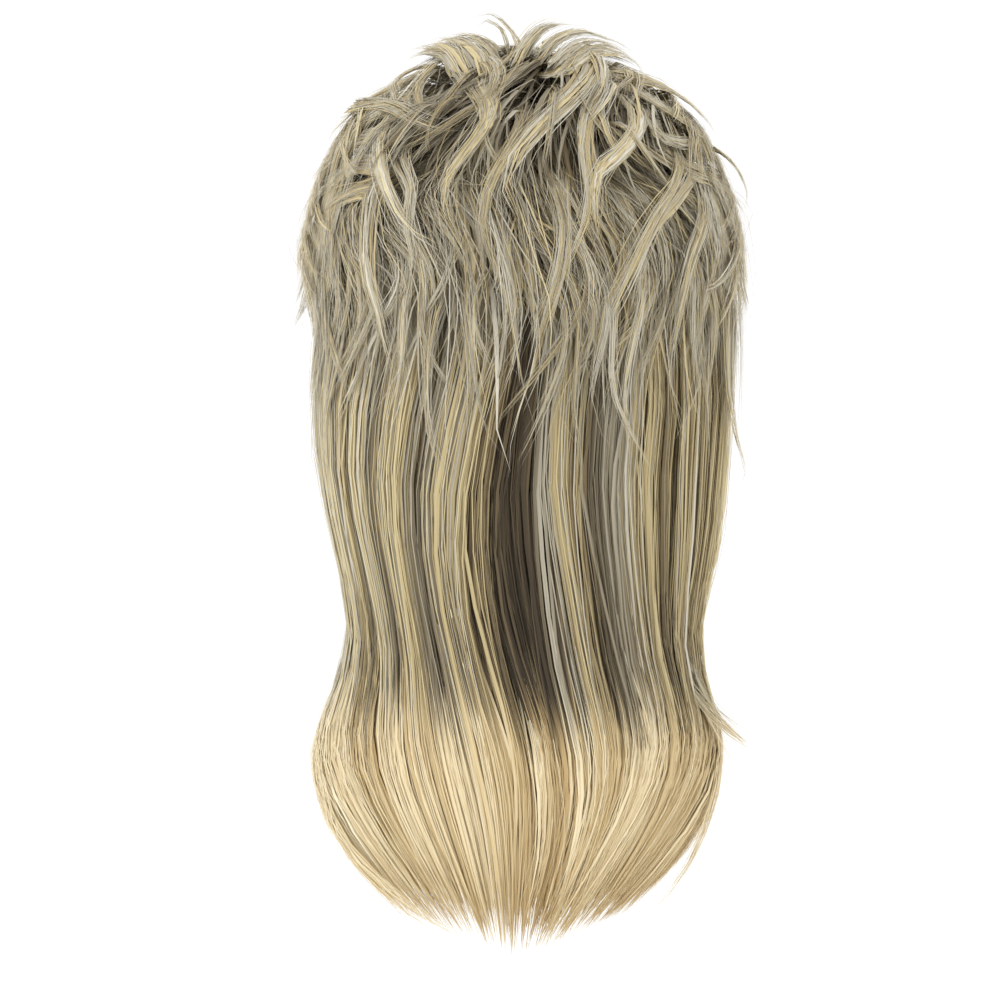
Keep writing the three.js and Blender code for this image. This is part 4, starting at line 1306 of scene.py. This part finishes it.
class WIG_OT_stage(bpy.types.Operator):
    """Make the floor, the studio light and the camera"""

    bl_idname = "wig.stage"
    bl_label = "Stage"

    def execute(self, context):
        scene = context.scene
        bpy.ops.object.select_all(action="DESELECT")
        bpy.ops.mesh.primitive_circle_add(vertices=96, radius=14, fill_type="NGON", location=(0, 0, 0))
        floor = context.object
        floor.name = "floor"
        floor.data.transform(floor.matrix_world)
        for vertex in floor.data.vertices:
            vertex.co.z = -0.47
        paint = Paint("floor_paint", Roughness=0.9)
        floor.data.materials.append(paint.wear(Base_Color=(0.97, 0.97, 0.97, 1)))
        world = bpy.data.worlds.new("studio")
        scene.world = world
        world.use_nodes = True
        world.node_tree.nodes["Background"].inputs[0].default_value = (1, 1, 1, 1)
        world.node_tree.nodes["Background"].inputs[1].default_value = 1.06
        for name, place, size, power in (
            ("key", (-1.7, -2.1, 1.3), 1.6, 18),
            ("fill", (1.9, -1.9, 0.7), 1.6, 2),
            ("top", (0.0, 0.3, 1.9), 1.4, 8),
        ):
            light = bpy.data.lights.new(name, "AREA")
            light.shape = "SQUARE"
            light.size = size
            light.energy = power
            lamp = bpy.data.objects.new(name, light)
            scene.collection.objects.link(lamp)
            lamp.location = place
            lamp.rotation_euler = (Vector((0, 0, -0.2)) - Vector(place)).to_track_quat("-Z", "Y").to_euler()
        camera = bpy.data.cameras.new("camera")
        distance = 2.2
        camera.sensor_width = 36
        camera.lens = 36 * distance / 0.4805
        eye = bpy.data.objects.new("camera", camera)
        scene.collection.objects.link(eye)
        eye.location = (-0.0103, -distance, -0.1994)
        eye.rotation_euler = (math.pi / 2, 0, 0)
        scene.camera = eye
        scene.view_settings.view_transform = "Standard"
        return {"FINISHED"}


STEPS = (
    WIG_OT_stage,
    WIG_OT_cap,
    WIG_OT_under_hair,
    WIG_OT_long_hair,
    WIG_OT_back_layer,
    WIG_OT_sides,
    WIG_OT_fringe,
    WIG_OT_crown,
)


class WIG_PT_panel(bpy.types.Panel):
    bl_idname = "WIG_PT_panel"
    bl_label = "Mullet Wig"
    bl_space_type = "VIEW_3D"
    bl_region_type = "UI"
    bl_category = "Wig"

    def draw(self, context):
        layout = self.layout
        for group in (context.scene.wig_sizes, context.scene.wig_shades):
            box = layout.box()
            for name in group.__annotations__:
                box.prop(group, name)
        for step in STEPS:
            layout.operator(step.bl_idname)


CLASSES = (WigShades, WigSizes, *STEPS, WIG_PT_panel)


def register():
    for item in CLASSES:
        bpy.utils.register_class(item)
    bpy.types.Scene.wig_sizes = PointerProperty(type=WigSizes)
    bpy.types.Scene.wig_shades = PointerProperty(type=WigShades)


def unregister():
    del bpy.types.Scene.wig_shades
    del bpy.types.Scene.wig_sizes
    for item in reversed(CLASSES):
        bpy.utils.unregister_class(item)


def main():
    register()
    bpy.ops.wig.stage()
    bpy.ops.wig.cap()
    bpy.ops.wig.under_hair()
    bpy.ops.wig.long_hair()
    bpy.ops.wig.back_layer()
    bpy.ops.wig.sides()
    bpy.ops.wig.fringe()
    bpy.ops.wig.crown()


if __name__ == "__main__":
    main()
